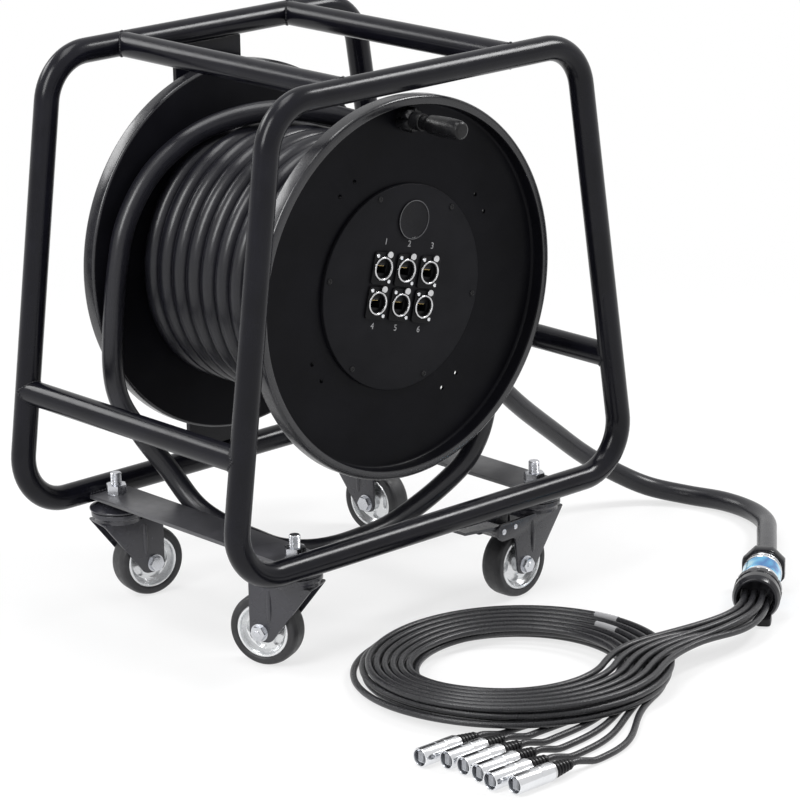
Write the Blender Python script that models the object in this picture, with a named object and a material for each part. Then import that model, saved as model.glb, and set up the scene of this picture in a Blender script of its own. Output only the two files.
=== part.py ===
"""Network cable reel: a drum of stage data cable turning in a wheeled tube frame.

Metres, +Z up. The drum's axle runs along Y, the connector panel faces -Y, and the
floor is z = 0. X is measured from the axle, and Y from halfway between the two
frame loops; one empty then moves everything so that the frame stands centred.
"""
import math

import bmesh
import bpy
import numpy as np
from mathutils import Matrix, Vector

# Clearances
SEAT_GAP = 0.0003           # between two pieces that rest on or in each other
RUN_GAP = 0.0006            # between two pieces that turn on each other
CABLE_GAP = 0.0005          # between the wound cable and what it touches

# Casters, from the floor up
WHEEL_RADIUS = 0.036
WHEEL_WIDTH = 0.025
TYRE_THICK = 0.0085
TYRE_CROWN = 0.0012
HUB_RIM = 0.0030
HUB_BOSS_RADIUS = 0.0095
HUB_WEB = 0.010
HUB_HOLES = 5
HUB_HOLE_RADIUS = 0.0034
WHEEL_AXLE_RADIUS = 0.0040
CASTER_TRAIL = 0.032        # from the swivel's axis to the wheel's
FORK_RISE = 0.0505          # from the wheel's axis up to the fork's crown
FORK_SHEET = 0.0025
FORK_SIDE_GAP = 0.0025      # between the wheel and each fork side
FORK_BACK = 0.0252
FORK_FRONT = 0.043
FORK_TOE_BACK = 0.0205
FORK_TOE_DROP = 0.0095
FORK_CORNER = 0.008
FORK_CROWN_CORNER = 0.004
RACE_RADIUS = 0.028
RACE_STEP = 0.002
RACE_LOWER = 0.0095
RACE_UPPER = 0.0115
RACE_RIM = 0.0015
RACE_SLOPE = 0.0050
RACE_NECK = 0.0140          # the upper cup narrows to clear the frame tube
RACE_GAP = 0.0010
KINGPIN_RADIUS = 0.0070
KINGPIN_HEAD_RADIUS = 0.0110
KINGPIN_HEAD = 0.0022
AXLE_HEAD_FLATS = 0.0130
AXLE_HEAD = 0.0050
STUD_RADIUS = 0.0058
STUD_ABOVE_NUT = 0.0120
STUD_NUT_FLATS = 0.0190
STUD_NUT = 0.0100

# Brake on one caster
EAR_FRONT = 0.072           # the braked fork's top corner, ahead of the swivel's axis
EAR_DEPTH = 0.018
PEDAL_PIN_X = 0.0640
PEDAL_PIN_DROP = 0.0080     # below the fork's crown
PEDAL_PIN_RADIUS = 0.0030
PEDAL_SHEET = 0.0030
PEDAL_REACH = 0.0530
PEDAL_RISE = 0.0060
PEDAL_BARREL = 0.0058
PEDAL_PAD_DROP = 0.0085
RIVET_HEAD_RADIUS = 0.0035
RIVET_HEAD = 0.0012

# Tube frame
TUBE_RADIUS = 0.0125
LOOP_Y = 0.1654             # each loop's plane, in front of and behind the middle
LOOP_HEIGHT = 0.4498
LOOP_LOW_HALF = 0.2609
LOOP_HIGH_HALF = 0.1974
LOOP_BEND = 0.050
LOOP_BEND_STEPS = 4
TOP_BAR_X = 0.108
SIDE_BAR_RISE = 0.1201
CASTER_INSET = 0.1009       # from the ends of the loops' lower tubes to the casters
CASTER_Y = 0.138
CASTER_BAR_WIDTH = 0.046
CASTER_BAR_THICK = 0.0040

# Upright plate and the axle on it
PLATE_WIDTH = 0.085
PLATE_THICK = 0.0050
AXLE_RISE = 0.0069          # above the loops' middle height
AXLE_RADIUS = 0.0100
AXLE_FLANGE_RADIUS = 0.0360
AXLE_FLANGE = 0.0060
AXLE_SPIGOT = 0.0020
BOLT_CIRCLE = 0.0265
BOLT_RADIUS = 0.0040
BOLT_FLATS = 0.0130
BOLT_HEAD = 0.0053
BOLT_NUT = 0.0065
BOLT_TAIL = 0.0015
BUSH_WALL = 0.0040
BUSH_LENGTH = 0.020
BUSH_FLANGE = 0.0020
BUSH_FLANGE_RADIUS = 0.0172
COLLAR_RADIUS = 0.0160
COLLAR_WIDTH = 0.0090
AXLE_TAIL = 0.0030

# Drum
DRUM_NEAR_Y = -0.1145       # inner face of the near flange
DRUM_WIDTH = 0.2355
DRUM_TURN = 14.5            # degrees, clockwise as the panel's reader sees it
FLANGE_RADIUS = 0.190
FLANGE_SHEET = 0.0030
FLANGE_RIM = 0.0095
FLANGE_RIM_DEPTH = 0.0180
FLANGE_RIM_ROUND = 0.0035
NEAR_BORE = 0.070
FAR_BORE = 0.040
FLANGE_HOLE_CIRCLE = 0.1265
FLANGE_HOLE_RADIUS = 0.0023
FLANGE_HOLE_SPREAD = 5.0    # degrees either side of each diagonal
CORE_RADIUS = 0.075
CORE_WALL = 0.0030
HUB_WALL = 0.0030
HUB_NEAR_Y = -0.060
SPIDER_Y = -0.046
SPIDER_SHEET = 0.0030
SPIDER_HOLE_CIRCLE = 0.045
SPIDER_HOLE_RADIUS = 0.013
SPIDER_HOLES = 3

# Cable, and its winding on the drum
CABLE_RADIUS = 0.0105
WINDING_RADIUS = 0.1255     # centre of the outer layer of cable
WINDING_TURNS = 9.72
POINTS_PER_TURN = 16
CABLE_STEP = 0.0462         # between points on the free cable
FINE_STEP = 0.004           # between the samples that those points are read from

# Connector panel
PANEL_RADIUS = 0.102
PANEL_THICK = 0.0037
BADGE_RADIUS = 0.0195
BADGE_THICK = 0.0016
BADGE_RISE = 0.067
SOCKET_PITCH_X = 0.031
SOCKET_PITCH_Z = 0.034
SOCKET_COLUMNS = 3
SOCKET_ROWS = 2
SOCKET_WIDTH = 0.026
SOCKET_HEIGHT = 0.0316
SOCKET_CORNER = 0.0030
SOCKET_PLATE = 0.0018
BARREL_RADIUS = 0.0118
BARREL_DEPTH = 0.0260
MOUTH_WIDTH = 0.0118
MOUTH_HEIGHT = 0.0098
MOUTH_DEPTH = 0.0150
RING_RADIUS = 0.0120
RING_WALL = 0.0022
RING_THICK = 0.0016
TAB_X = 0.0045
TAB_Z = 0.0150
TAB_WIDTH = 0.0070
TAB_HEIGHT = 0.0040
TAB_THICK = 0.0014
TAB_TRAVEL = 0.0010
TAB_STEM_WIDTH = 0.0036
TAB_STEM_HEIGHT = 0.0014
TAB_STEM_DROP = 0.0010      # the stem sits this far below the tab's middle
TAB_STEM_INSERT = 0.0004    # of the stem in the flange at rest

# Crank handle on the near flange
HANDLE_ANGLE = 101.5        # degrees on the panel, from its own horizontal
HANDLE_PIN_RADIUS = 0.0040
HANDLE_COLLAR_RADIUS = 0.0075
HANDLE_COLLAR = 0.0030
KNOB_RADIUS = 0.0128
KNOB_GAP = 0.0008           # between the turning knob and the flange's rim
KNOB_LOBES = 5
KNOB_VALLEY = 0.0088
KNOB_POINTS = 4             # along each lobe's outline
KNOB_SWELL = 0.7            # below 1, the lobes are blunter than a cosine
KNOB_THICK = 0.0150
KNOB_HUB_RADIUS = 0.0085
KNOB_LENGTH = 0.0265
GRIP_LENGTH = 0.0535
GRIP_NECK = 0.0072
GRIP_NECK_LENGTH = 0.0064
GRIP_SHOULDER = 0.0118      # from the grip's back to its shoulder
GRIP_SHOULDER_RADIUS = 0.0093
GRIP_SWELL = 0.0294         # to its widest place
GRIP_RADIUS = 0.0100
GRIP_END_ROUND = 0.0054     # from its front shoulder to its end
GRIP_END_RADIUS = 0.0070
GRIP_END_WALL = 0.0060

# Breakout coupling at the free end of the cable
COUPLING_MOUTH = (0.237, -0.371)
COUPLING_HEADING = 217.5    # degrees, the way the coupling's mouth faces
REAR_NUT_FLATS = 0.0430
REAR_NUT = 0.0170
REAR_NUT_NOSE = 0.0043      # length of the rear nut's cone
REAR_NUT_NOSE_RADIUS = 0.0168
SLEEVE_RADIUS = 0.0200
SLEEVE_LENGTH = 0.0560
SLEEVE_EDGE = 0.0015
FRONT_NUT_RADIUS = 0.0240
FRONT_NUT = 0.0330
FRONT_NUT_EDGE = 0.0030
FRONT_NUT_TAPER = 0.0060
FRONT_LIP = 0.0015
FRONT_MOUTH_RADIUS = 0.0190
FRONT_THROAT_RADIUS = 0.0165
FRONT_MOUTH_DEPTH = 0.0120

# The six data cables of the breakout
STRAND_RADIUS = 0.00325
STRANDS = 6
STRAND_PITCH = 0.0072       # between neighbours where they lie closest
STRAND_SPREAD = 0.0040      # added to the pitch where they lie loosest
LAYER_STEP = 0.0072
COIL_TURNS = 3
COIL_POINTS_PER_TURN = 16
CLIMB_START = 60.0          # degrees past the coil's near side where each turn steps down
CLIMB_SPAN = 110.0
COIL_ENTRY = -390.0         # degrees of travel where the cables join the coil
COIL_EXIT = 700.0           # and where they leave it, on the floor
BUNDLE_PITCH = 0.0088       # across the two rows in the coupling's mouth
BUNDLE_ROWS = 0.0080        # between those rows
BUNDLE_STRAIGHT = 0.0160
BEND_REACH = 0.45           # share of each bend's span that its ends keep straight
BEND_PARTS = 5
RISE_FROM = 0.25            # share of the way to the coil where the bundle starts to flatten
RISE_TO = 0.68              # and where it lies flat

# Plugs of the six data cables
PLUG_RADIUS = 0.0092
PLUG_BORE = 0.0077
PLUG_BORE_DEPTH = 0.0100
PLUG_SHELL = 0.0440
BOOT_LENGTH = 0.0270
BOOT_STRAIGHT = 0.0110
BOOT_RADIUS = 0.0078
BOOT_TIP_RADIUS = 0.0050
PLUG_HEADING = 180.0
PLUG_RUN = 0.030            # from the boot to where its cable comes down to the floor

# Heights and depths that follow from the sizes above
FORK_TOP = WHEEL_RADIUS + FORK_RISE
BAR_UNDERSIDE = FORK_TOP + RACE_LOWER + RACE_GAP + RACE_UPPER
LOOP_LOW_Z = BAR_UNDERSIDE + CASTER_BAR_THICK
LOOP_HIGH_Z = LOOP_LOW_Z + LOOP_HEIGHT
SIDE_BAR_Z = LOOP_LOW_Z + SIDE_BAR_RISE
AXLE_Z = LOOP_LOW_Z + LOOP_HEIGHT / 2 + AXLE_RISE
CASTER_X = LOOP_LOW_HALF - CASTER_INSET
PLATE_FRONT_Y = LOOP_Y - PLATE_THICK / 2
PLATE_BACK_Y = LOOP_Y + PLATE_THICK / 2
AXLE_FLANGE_BACK_Y = PLATE_FRONT_Y - SEAT_GAP
AXLE_FLANGE_FRONT_Y = AXLE_FLANGE_BACK_Y - AXLE_FLANGE
DRUM_FAR_Y = DRUM_NEAR_Y + DRUM_WIDTH
HUB_BORE = AXLE_RADIUS + RUN_GAP + BUSH_WALL + SEAT_GAP
HUB_RADIUS = HUB_BORE + HUB_WALL
HUB_FAR_Y = AXLE_FLANGE_FRONT_Y - RUN_GAP - BUSH_FLANGE - SEAT_GAP
CORE_BORE = CORE_RADIUS - CORE_WALL
SHEET_FRONT_Y = DRUM_NEAR_Y - FLANGE_SHEET
PANEL_BACK_Y = SHEET_FRONT_Y - SEAT_GAP
PANEL_FRONT_Y = PANEL_BACK_Y - PANEL_THICK
SOCKET_BACK_Y = PANEL_FRONT_Y - SEAT_GAP
SOCKET_FRONT_Y = SOCKET_BACK_Y - SOCKET_PLATE
WINDING_DIP = WINDING_RADIUS * math.cos(math.pi / POINTS_PER_TURN)
UNDER_RADIUS = WINDING_DIP - CABLE_RADIUS - CABLE_GAP
WINDING_NEAR_Y = DRUM_NEAR_Y + CABLE_GAP + CABLE_RADIUS
WINDING_FAR_Y = DRUM_FAR_Y - CABLE_GAP - CABLE_RADIUS
HANDLE_COLLAR_FRONT_Y = SHEET_FRONT_Y - SEAT_GAP - HANDLE_COLLAR
KNOB_BACK_Y = HANDLE_COLLAR_FRONT_Y - SEAT_GAP
KNOB_FRONT_Y = KNOB_BACK_Y - KNOB_LENGTH
GRIP_BACK_Y = KNOB_FRONT_Y - RUN_GAP
GRIP_END_Y = GRIP_BACK_Y - GRIP_LENGTH
CENTRE_Y = (LOOP_Y + TUBE_RADIUS + GRIP_END_Y) / 2
COUPLING_LENGTH = REAR_NUT + SLEEVE_LENGTH + FRONT_NUT + 2 * SEAT_GAP

# Sides of the round pieces
TUBE_SIDES = 12
DISC_SIDES = 36
CORE_SIDES = 18
WHEEL_SIDES = 18
AXLE_SIDES = 12
RACE_SIDES = 12
BARREL_SIDES = 10
PIN_SIDES = 8
BOLT_SIDES = 6

# Turns an outline drawn in X and Z, with its height along Y
ALONG_Y = Matrix(((1, 0, 0, 0), (0, 0, 1, 0), (0, 1, 0, 0), (0, 0, 0, 1)))

BLACK_PAINT = ((0.012, 0.012, 0.014), 0.35, 0.0)
BLACK_PLASTIC = ((0.015, 0.015, 0.016), 0.45, 0.0)
BLACK_RUBBER = ((0.020, 0.020, 0.021), 0.70, 0.0)
CABLE_JACKET = ((0.030, 0.030, 0.033), 0.55, 0.0)
BRAID = ((0.045, 0.045, 0.048), 0.75, 0.0)
ZINC = ((0.62, 0.63, 0.62), 0.35, 1.0)
STEEL = ((0.45, 0.45, 0.46), 0.30, 1.0)
NICKEL = ((0.70, 0.69, 0.67), 0.22, 1.0)
CHROME = ((0.78, 0.79, 0.80), 0.15, 1.0)
BLUE_CHROME = ((0.55, 0.74, 0.86), 0.20, 0.8)
BRONZE = ((0.45, 0.30, 0.14), 0.40, 1.0)
DARK_GREY = ((0.045, 0.045, 0.050), 0.40, 0.0)


def paint(thing, finish):
    """Give an object its own Principled material."""
    colour, roughness, metallic = finish
    material = bpy.data.materials.new(thing.name + "_finish")
    material.use_nodes = True
    shader = material.node_tree.nodes["Principled BSDF"]
    shader.inputs["Base Color"].default_value = (*colour, 1.0)
    shader.inputs["Roughness"].default_value = roughness
    shader.inputs["Metallic"].default_value = metallic
    material.diffuse_color = (*colour, 1.0)
    thing.data.materials.append(material)


def empty(name, place, parent=None, turn=(0.0, 0.0, 0.0)):
    """An empty that carries the pieces of one moving group."""
    holder = bpy.data.objects.new(name, None)
    holder.location = place
    holder.rotation_euler = turn
    holder.parent = parent
    bpy.context.scene.collection.objects.link(holder)
    return holder


def make(name, shape, parent, finish, place=(0.0, 0.0, 0.0)):
    """Turn a finished bmesh into a named, painted object."""
    bmesh.ops.remove_doubles(shape, verts=shape.verts, dist=1e-6)
    bmesh.ops.recalc_face_normals(shape, faces=shape.faces)
    mesh = bpy.data.meshes.new(name)
    shape.to_mesh(mesh)
    shape.free()
    mesh.shade_smooth()
    mesh.set_sharp_from_angle(angle=math.radians(35))
    thing = bpy.data.objects.new(name, mesh)
    thing.location = place
    thing.parent = parent
    bpy.context.scene.collection.objects.link(thing)
    paint(thing, finish)
    return thing


def tube(name, points, radius, resolution, parent, finish, closed=False):
    """A curve object: one round tube along a list of points."""
    curve = bpy.data.curves.new(name, "CURVE")
    curve.dimensions = "3D"
    curve.bevel_depth = radius
    curve.bevel_resolution = resolution
    curve.use_fill_caps = not closed
    spline = curve.splines.new("POLY")
    spline.points.add(len(points) - 1)
    for knot, point in zip(spline.points, points):
        knot.co = (*point, 1.0)
    spline.use_cyclic_u = closed
    thing = bpy.data.objects.new(name, curve)
    thing.parent = parent
    bpy.context.scene.collection.objects.link(thing)
    paint(thing, finish)
    return thing


def add_prism(shape, outline, low, high, matrix=Matrix()):
    """Extrude a closed outline in local X and Y from one height to another."""
    rim = [shape.verts.new(matrix @ Vector((x, y, low))) for x, y in outline]
    face = shape.faces.new(rim)
    lift = matrix.to_3x3() @ Vector((0.0, 0.0, high - low))
    grown = bmesh.ops.extrude_face_region(shape, geom=[face], use_keep_orig=True)
    top = [item for item in grown["geom"] if isinstance(item, bmesh.types.BMVert)]
    bmesh.ops.translate(shape, verts=top, vec=lift)


def add_turned(shape, profile, segments, matrix=Matrix()):
    """Spin a closed outline of (radius, height) about the local Z axis."""
    body = bmesh.new()
    knots = [body.verts.new((radius, 0.0, height)) for radius, height in profile]
    edges = []
    for start, end in zip(knots, knots[1:] + knots[:1]):
        if start.co.x > 0.0 or end.co.x > 0.0:
            edges.append(body.edges.new((start, end)))
    bmesh.ops.spin(
        body,
        geom=knots + edges,
        cent=(0.0, 0.0, 0.0),
        axis=(0.0, 0.0, 1.0),
        angle=2 * math.pi,
        steps=segments,
        use_merge=True,
    )
    bmesh.ops.remove_doubles(body, verts=body.verts, dist=1e-7)
    loose = [edge for edge in body.edges if not edge.link_faces]
    bmesh.ops.delete(body, geom=loose, context="EDGES")
    bmesh.ops.transform(body, matrix=matrix, verts=body.verts)
    carrier = bpy.data.meshes.new("spun")
    body.to_mesh(carrier)
    body.free()
    shape.from_mesh(carrier)
    bpy.data.meshes.remove(carrier)


def rod(radius, low, high):
    """The outline of a plain round bar, for add_turned."""
    return [(0.0, low), (radius, low), (radius, high), (0.0, high)]


def ring(inner, outer, low, high):
    """The outline of a plain ring, for add_turned."""
    return [(inner, low), (outer, low), (outer, high), (inner, high)]


def corner_radius(across, sides):
    """The radius to the corners of a regular prism, from its size across flats."""
    return across / 2 / math.cos(math.pi / sides)


def hexagon(flats):
    """A hexagon's outline."""
    reach = corner_radius(flats, 6)
    return [(reach * math.cos(a), reach * math.sin(a)) for a in np.radians(range(0, 360, 60))]


def rounded(corners, radii, steps=3):
    """A polygon with an arc of the given radius at each corner, 0 for a sharp one."""
    outline = []
    count = len(corners)
    for index, radius in enumerate(radii):
        here = Vector(corners[index])
        before = (Vector(corners[index - 1]) - here).normalized()
        after = (Vector(corners[(index + 1) % count]) - here).normalized()
        if radius == 0.0:
            outline.append(tuple(here))
            continue
        half = before.angle(after) / 2
        centre = here + (before + after).normalized() * (radius / math.sin(half))
        first = here + before * (radius / math.tan(half)) - centre
        last = here + after * (radius / math.tan(half)) - centre
        sweep = first.angle_signed(last)
        for step in range(steps + 1):
            turned = first.copy()
            turned.rotate(Matrix.Rotation(-sweep * step / steps, 2))
            outline.append(tuple(centre + turned))
    return outline


def rectangle(width, height, x=0.0, y=0.0):
    """A rectangle's outline about a centre."""
    w = width / 2
    h = height / 2
    return [(x - w, y - h), (x + w, y - h), (x + w, y + h), (x - w, y + h)]


def boolean(base, tools, operation):
    """Apply one exact boolean for each tool to base, and return the new bmesh."""
    things = []
    for shape in [base, *tools]:
        bmesh.ops.recalc_face_normals(shape, faces=shape.faces)
        mesh = bpy.data.meshes.new("boolean")
        shape.to_mesh(mesh)
        shape.free()
        thing = bpy.data.objects.new("boolean", mesh)
        bpy.context.scene.collection.objects.link(thing)
        things.append(thing)
    for tool in things[1:]:
        modifier = things[0].modifiers.new("boolean", "BOOLEAN")
        modifier.operation = operation
        modifier.object = tool
    graph = bpy.context.evaluated_depsgraph_get()
    result = bmesh.new()
    result.from_object(things[0], graph)
    for thing in things:
        mesh = thing.data
        bpy.data.objects.remove(thing)
        bpy.data.meshes.remove(mesh)
    bmesh.ops.remove_doubles(result, verts=result.verts, dist=2e-6)
    bmesh.ops.dissolve_degenerate(result, edges=result.edges, dist=2e-6)
    return result


def at(x, y, z=0.0):
    """A shift, for the matrix of a shape."""
    return Matrix.Translation((x, y, z))


# Tube frame

def loop_half(z):
    """Half the width of a loop's centreline at a height."""
    share = (z - LOOP_LOW_Z) / LOOP_HEIGHT
    return LOOP_LOW_HALF + (LOOP_HIGH_HALF - LOOP_LOW_HALF) * share


def build_loop(name, y, parent):
    """One bent trapezoid tube of the frame."""
    corners = [
        (-LOOP_LOW_HALF, LOOP_LOW_Z),
        (LOOP_LOW_HALF, LOOP_LOW_Z),
        (LOOP_HIGH_HALF, LOOP_HIGH_Z),
        (-LOOP_HIGH_HALF, LOOP_HIGH_Z),
    ]
    outline = rounded(corners, [LOOP_BEND] * 4, LOOP_BEND_STEPS)
    points = [(x, y, z) for x, z in outline]
    return tube(name, points, TUBE_RADIUS, 3, parent, BLACK_PAINT, closed=True)


def build_cross_bar(name, x, z, lean, parent):
    """A straight tube between the loops, its ends coped round their tubes."""
    bar = bmesh.new()
    add_turned(bar, rod(TUBE_RADIUS, -LOOP_Y, LOOP_Y), TUBE_SIDES, at(x, 0, z) @ ALONG_Y)
    cope = bmesh.new()
    cope_radius = corner_radius(2 * (TUBE_RADIUS + SEAT_GAP), TUBE_SIDES)
    reach = 4 * TUBE_RADIUS
    tilt = Matrix.Rotation(lean, 4, "Y")
    for y in (-LOOP_Y, LOOP_Y):
        add_turned(cope, rod(cope_radius, -reach, reach), TUBE_SIDES, at(x, y, z) @ tilt)
    return make(name, boolean(bar, [cope], "DIFFERENCE"), parent, BLACK_PAINT)


def stem_profile():
    """A caster's stem: kingpin head, pin, upper race cup, and the stud above it."""
    race_low = BAR_UNDERSIDE - RACE_UPPER
    head_top = FORK_TOP - FORK_SHEET - RUN_GAP
    stud_top = LOOP_LOW_Z + STUD_NUT + STUD_ABOVE_NUT
    return [
        (0.0, head_top - KINGPIN_HEAD),
        (KINGPIN_HEAD_RADIUS, head_top - KINGPIN_HEAD),
        (KINGPIN_HEAD_RADIUS, head_top),
        (KINGPIN_RADIUS, head_top),
        (KINGPIN_RADIUS, race_low),
        (RACE_RADIUS, race_low),
        (RACE_RADIUS, race_low + RACE_RIM),
        (RACE_NECK, race_low + RACE_RIM + RACE_SLOPE),
        (RACE_NECK, BAR_UNDERSIDE),
        (STUD_RADIUS, BAR_UNDERSIDE),
        (STUD_RADIUS, stud_top),
        (0.0, stud_top),
    ]


def build_caster_bar(name, x, parent):
    """A flat bar between the lower tubes, with the two caster stems nutted to it."""
    bar = bmesh.new()
    end = LOOP_Y - TUBE_RADIUS - SEAT_GAP
    add_prism(bar, rectangle(CASTER_BAR_WIDTH, 2 * end, x), BAR_UNDERSIDE, LOOP_LOW_Z)
    stems = bmesh.new()
    nuts = bmesh.new()
    for y in (-CASTER_Y, CASTER_Y):
        add_turned(stems, stem_profile(), RACE_SIDES, at(x, y))
        nut_low = LOOP_LOW_Z - CASTER_BAR_THICK / 2
        add_prism(nuts, hexagon(STUD_NUT_FLATS), nut_low, LOOP_LOW_Z + STUD_NUT, at(x, y))
    return make(name, boolean(bar, [stems, nuts], "UNION"), parent, BLACK_PAINT)


def build_frame(root):
    """The two loops and everything welded between them."""
    build_loop("frame_loop_near", -LOOP_Y, root)
    build_loop("frame_loop_far", LOOP_Y, root)
    lean = math.atan2(LOOP_HIGH_HALF - LOOP_LOW_HALF, LOOP_HEIGHT)
    for side, sign in (("left", -1), ("right", 1)):
        build_cross_bar(f"top_bar_{side}", sign * TOP_BAR_X, LOOP_HIGH_Z, math.pi / 2, root)
        build_cross_bar(f"side_bar_{side}", sign * loop_half(SIDE_BAR_Z), SIDE_BAR_Z, sign * lean, root)
        build_caster_bar(f"caster_bar_{side}", sign * CASTER_X, root)


# Upright plate and axle

def bolt_places():
    """The axle's bolts round its centre, as (x, z) from the axle."""
    turns = [math.radians(45 + 90 * step) for step in range(4)]
    return [(BOLT_CIRCLE * math.cos(turn), BOLT_CIRCLE * math.sin(turn)) for turn in turns]


def bolt_holes(low, high):
    """Four cutters for the axle's bolts."""
    holes = bmesh.new()
    for x, z in bolt_places():
        hole_radius = corner_radius(2 * (BOLT_RADIUS + SEAT_GAP), BOLT_SIDES)
        add_turned(holes, rod(hole_radius, low, high), BOLT_SIDES, at(x, 0, AXLE_Z + z) @ ALONG_Y)
    return holes


def axle_bore(gap):
    """The corner radius of a hole that clears the axle."""
    return corner_radius(2 * (AXLE_RADIUS + gap), AXLE_SIDES)


def build_upright(root):
    """The flat plate between the far loop's tubes."""
    low = LOOP_LOW_Z + TUBE_RADIUS + SEAT_GAP
    high = LOOP_HIGH_Z - TUBE_RADIUS - SEAT_GAP
    plate = bmesh.new()
    outline = [(x, low if z < 0 else high) for x, z in rectangle(PLATE_WIDTH, 1.0)]
    add_prism(plate, outline, PLATE_FRONT_Y, PLATE_BACK_Y, ALONG_Y)
    spigot = bmesh.new()
    reach = 2 * PLATE_THICK
    spigot_rod = rod(axle_bore(SEAT_GAP), PLATE_FRONT_Y - reach, PLATE_BACK_Y + reach)
    add_turned(spigot, spigot_rod, AXLE_SIDES, at(0, 0, AXLE_Z) @ ALONG_Y)
    holes = bolt_holes(PLATE_FRONT_Y - reach, PLATE_BACK_Y + reach)
    make("upright_plate", boolean(plate, [spigot, holes], "DIFFERENCE"), root, BLACK_PAINT)


def build_axle(root):
    """The fixed spindle bolted to the plate, and the collar that keeps the drum on it."""
    spindle = bmesh.new()
    profile = [
        (0.0, PLATE_BACK_Y + AXLE_SPIGOT),
        (AXLE_RADIUS, PLATE_BACK_Y + AXLE_SPIGOT),
        (AXLE_RADIUS, AXLE_FLANGE_BACK_Y),
        (AXLE_FLANGE_RADIUS, AXLE_FLANGE_BACK_Y),
        (AXLE_FLANGE_RADIUS, AXLE_FLANGE_FRONT_Y),
        (AXLE_RADIUS, AXLE_FLANGE_FRONT_Y),
        (AXLE_RADIUS, collar_near_y() - AXLE_TAIL),
        (0.0, collar_near_y() - AXLE_TAIL),
    ]
    add_turned(spindle, profile, AXLE_SIDES, at(0, 0, AXLE_Z) @ ALONG_Y)
    shanks = bmesh.new()
    heads = bmesh.new()
    nut_front = AXLE_FLANGE_FRONT_Y - BOLT_NUT
    head_back = PLATE_BACK_Y + SEAT_GAP
    inside = AXLE_FLANGE / 2
    for x, z in bolt_places():
        place = at(x, 0, AXLE_Z + z) @ ALONG_Y
        shank = rod(BOLT_RADIUS, nut_front - BOLT_TAIL, head_back + BOLT_HEAD / 2)
        add_turned(shanks, shank, BOLT_SIDES, place)
        add_prism(heads, hexagon(BOLT_FLATS), head_back, head_back + BOLT_HEAD, place)
        add_prism(heads, hexagon(BOLT_FLATS), nut_front, AXLE_FLANGE_FRONT_Y + inside, place)
    make("axle_spindle", boolean(spindle, [shanks, heads], "UNION"), root, STEEL)

    collar = bmesh.new()
    face = collar_near_y()
    outline = ring(axle_bore(SEAT_GAP), COLLAR_RADIUS, face, face + COLLAR_WIDTH)
    add_turned(collar, outline, AXLE_SIDES, at(0, 0, AXLE_Z) @ ALONG_Y)
    make("axle_collar", collar, root, ZINC)


def collar_near_y():
    """The near face of the collar that keeps the drum on its axle."""
    return HUB_NEAR_Y - SEAT_GAP - BUSH_FLANGE - RUN_GAP - COLLAR_WIDTH


# Drum

def build_core(drum):
    """The drum's core tube with its far web and hub, in one welded piece."""
    near = DRUM_NEAR_Y + SEAT_GAP
    far = DRUM_FAR_Y - SEAT_GAP
    web = far - FLANGE_SHEET
    profile = [
        (CORE_BORE, near),
        (CORE_RADIUS, near),
        (CORE_RADIUS, far),
        (HUB_RADIUS, far),
        (HUB_RADIUS, HUB_FAR_Y),
        (HUB_BORE, HUB_FAR_Y),
        (HUB_BORE, HUB_NEAR_Y),
        (HUB_RADIUS, HUB_NEAR_Y),
        (HUB_RADIUS, web),
        (CORE_BORE, web),
    ]
    core = bmesh.new()
    add_turned(core, profile, CORE_SIDES, ALONG_Y)
    spider = bmesh.new()
    low = SPIDER_Y - SPIDER_SHEET / 2
    high = SPIDER_Y + SPIDER_SHEET / 2
    weld = HUB_WALL / 2
    add_turned(spider, ring(HUB_RADIUS - weld, CORE_BORE + weld, low, high), CORE_SIDES, ALONG_Y)
    holes = bmesh.new()
    for step in range(SPIDER_HOLES):
        turn = 2 * math.pi * step / SPIDER_HOLES
        x = SPIDER_HOLE_CIRCLE * math.cos(turn)
        z = SPIDER_HOLE_CIRCLE * math.sin(turn)
        reach = 2 * SPIDER_SHEET
        hole = rod(SPIDER_HOLE_RADIUS, low - reach, high + reach)
        add_turned(holes, hole, PIN_SIDES, at(x, 0, z) @ ALONG_Y)
    pierced = boolean(spider, [holes], "DIFFERENCE")
    make("drum_core", boolean(core, [pierced], "UNION"), drum, BLACK_PAINT)


def build_bushes(drum):
    """Flanged bushes at both ends of the hub."""
    bore = axle_bore(RUN_GAP)
    outer = HUB_BORE * math.cos(math.pi / CORE_SIDES) - SEAT_GAP
    for label, face, inward in (("far", HUB_FAR_Y, -1), ("near", HUB_NEAR_Y, 1)):
        profile = [
            (bore, face + inward * BUSH_LENGTH),
            (outer, face + inward * BUSH_LENGTH),
            (outer, face - inward * SEAT_GAP),
            (BUSH_FLANGE_RADIUS, face - inward * SEAT_GAP),
            (BUSH_FLANGE_RADIUS, face - inward * (SEAT_GAP + BUSH_FLANGE)),
            (bore, face - inward * (SEAT_GAP + BUSH_FLANGE)),
        ]
        bush = bmesh.new()
        add_turned(bush, profile, AXLE_SIDES, ALONG_Y)
        make(f"drum_bush_{label}", bush, drum, BRONZE)


def flange_profile(bore, inner, outward):
    """A pressed disc with a rim turned outward, rounded along the rim's edge."""
    sheet = inner + outward * FLANGE_SHEET
    edge = inner + outward * FLANGE_RIM_DEPTH
    rim = FLANGE_RADIUS - FLANGE_RIM
    cut = FLANGE_RIM_ROUND
    return [
        (bore, inner),
        (FLANGE_RADIUS, inner),
        (FLANGE_RADIUS, edge - outward * cut),
        (FLANGE_RADIUS - cut, edge),
        (rim, edge),
        (rim, sheet),
        (bore, sheet),
    ]


def handle_place():
    """The handle's centre on the drum, as (x, z) from the axle, close inside the flange's rim."""
    turn = math.radians(HANDLE_ANGLE)
    rim = (FLANGE_RADIUS - FLANGE_RIM) * math.cos(math.pi / DISC_SIDES)
    circle = rim - KNOB_GAP - KNOB_RADIUS
    return circle * math.cos(turn), circle * math.sin(turn)


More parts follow.
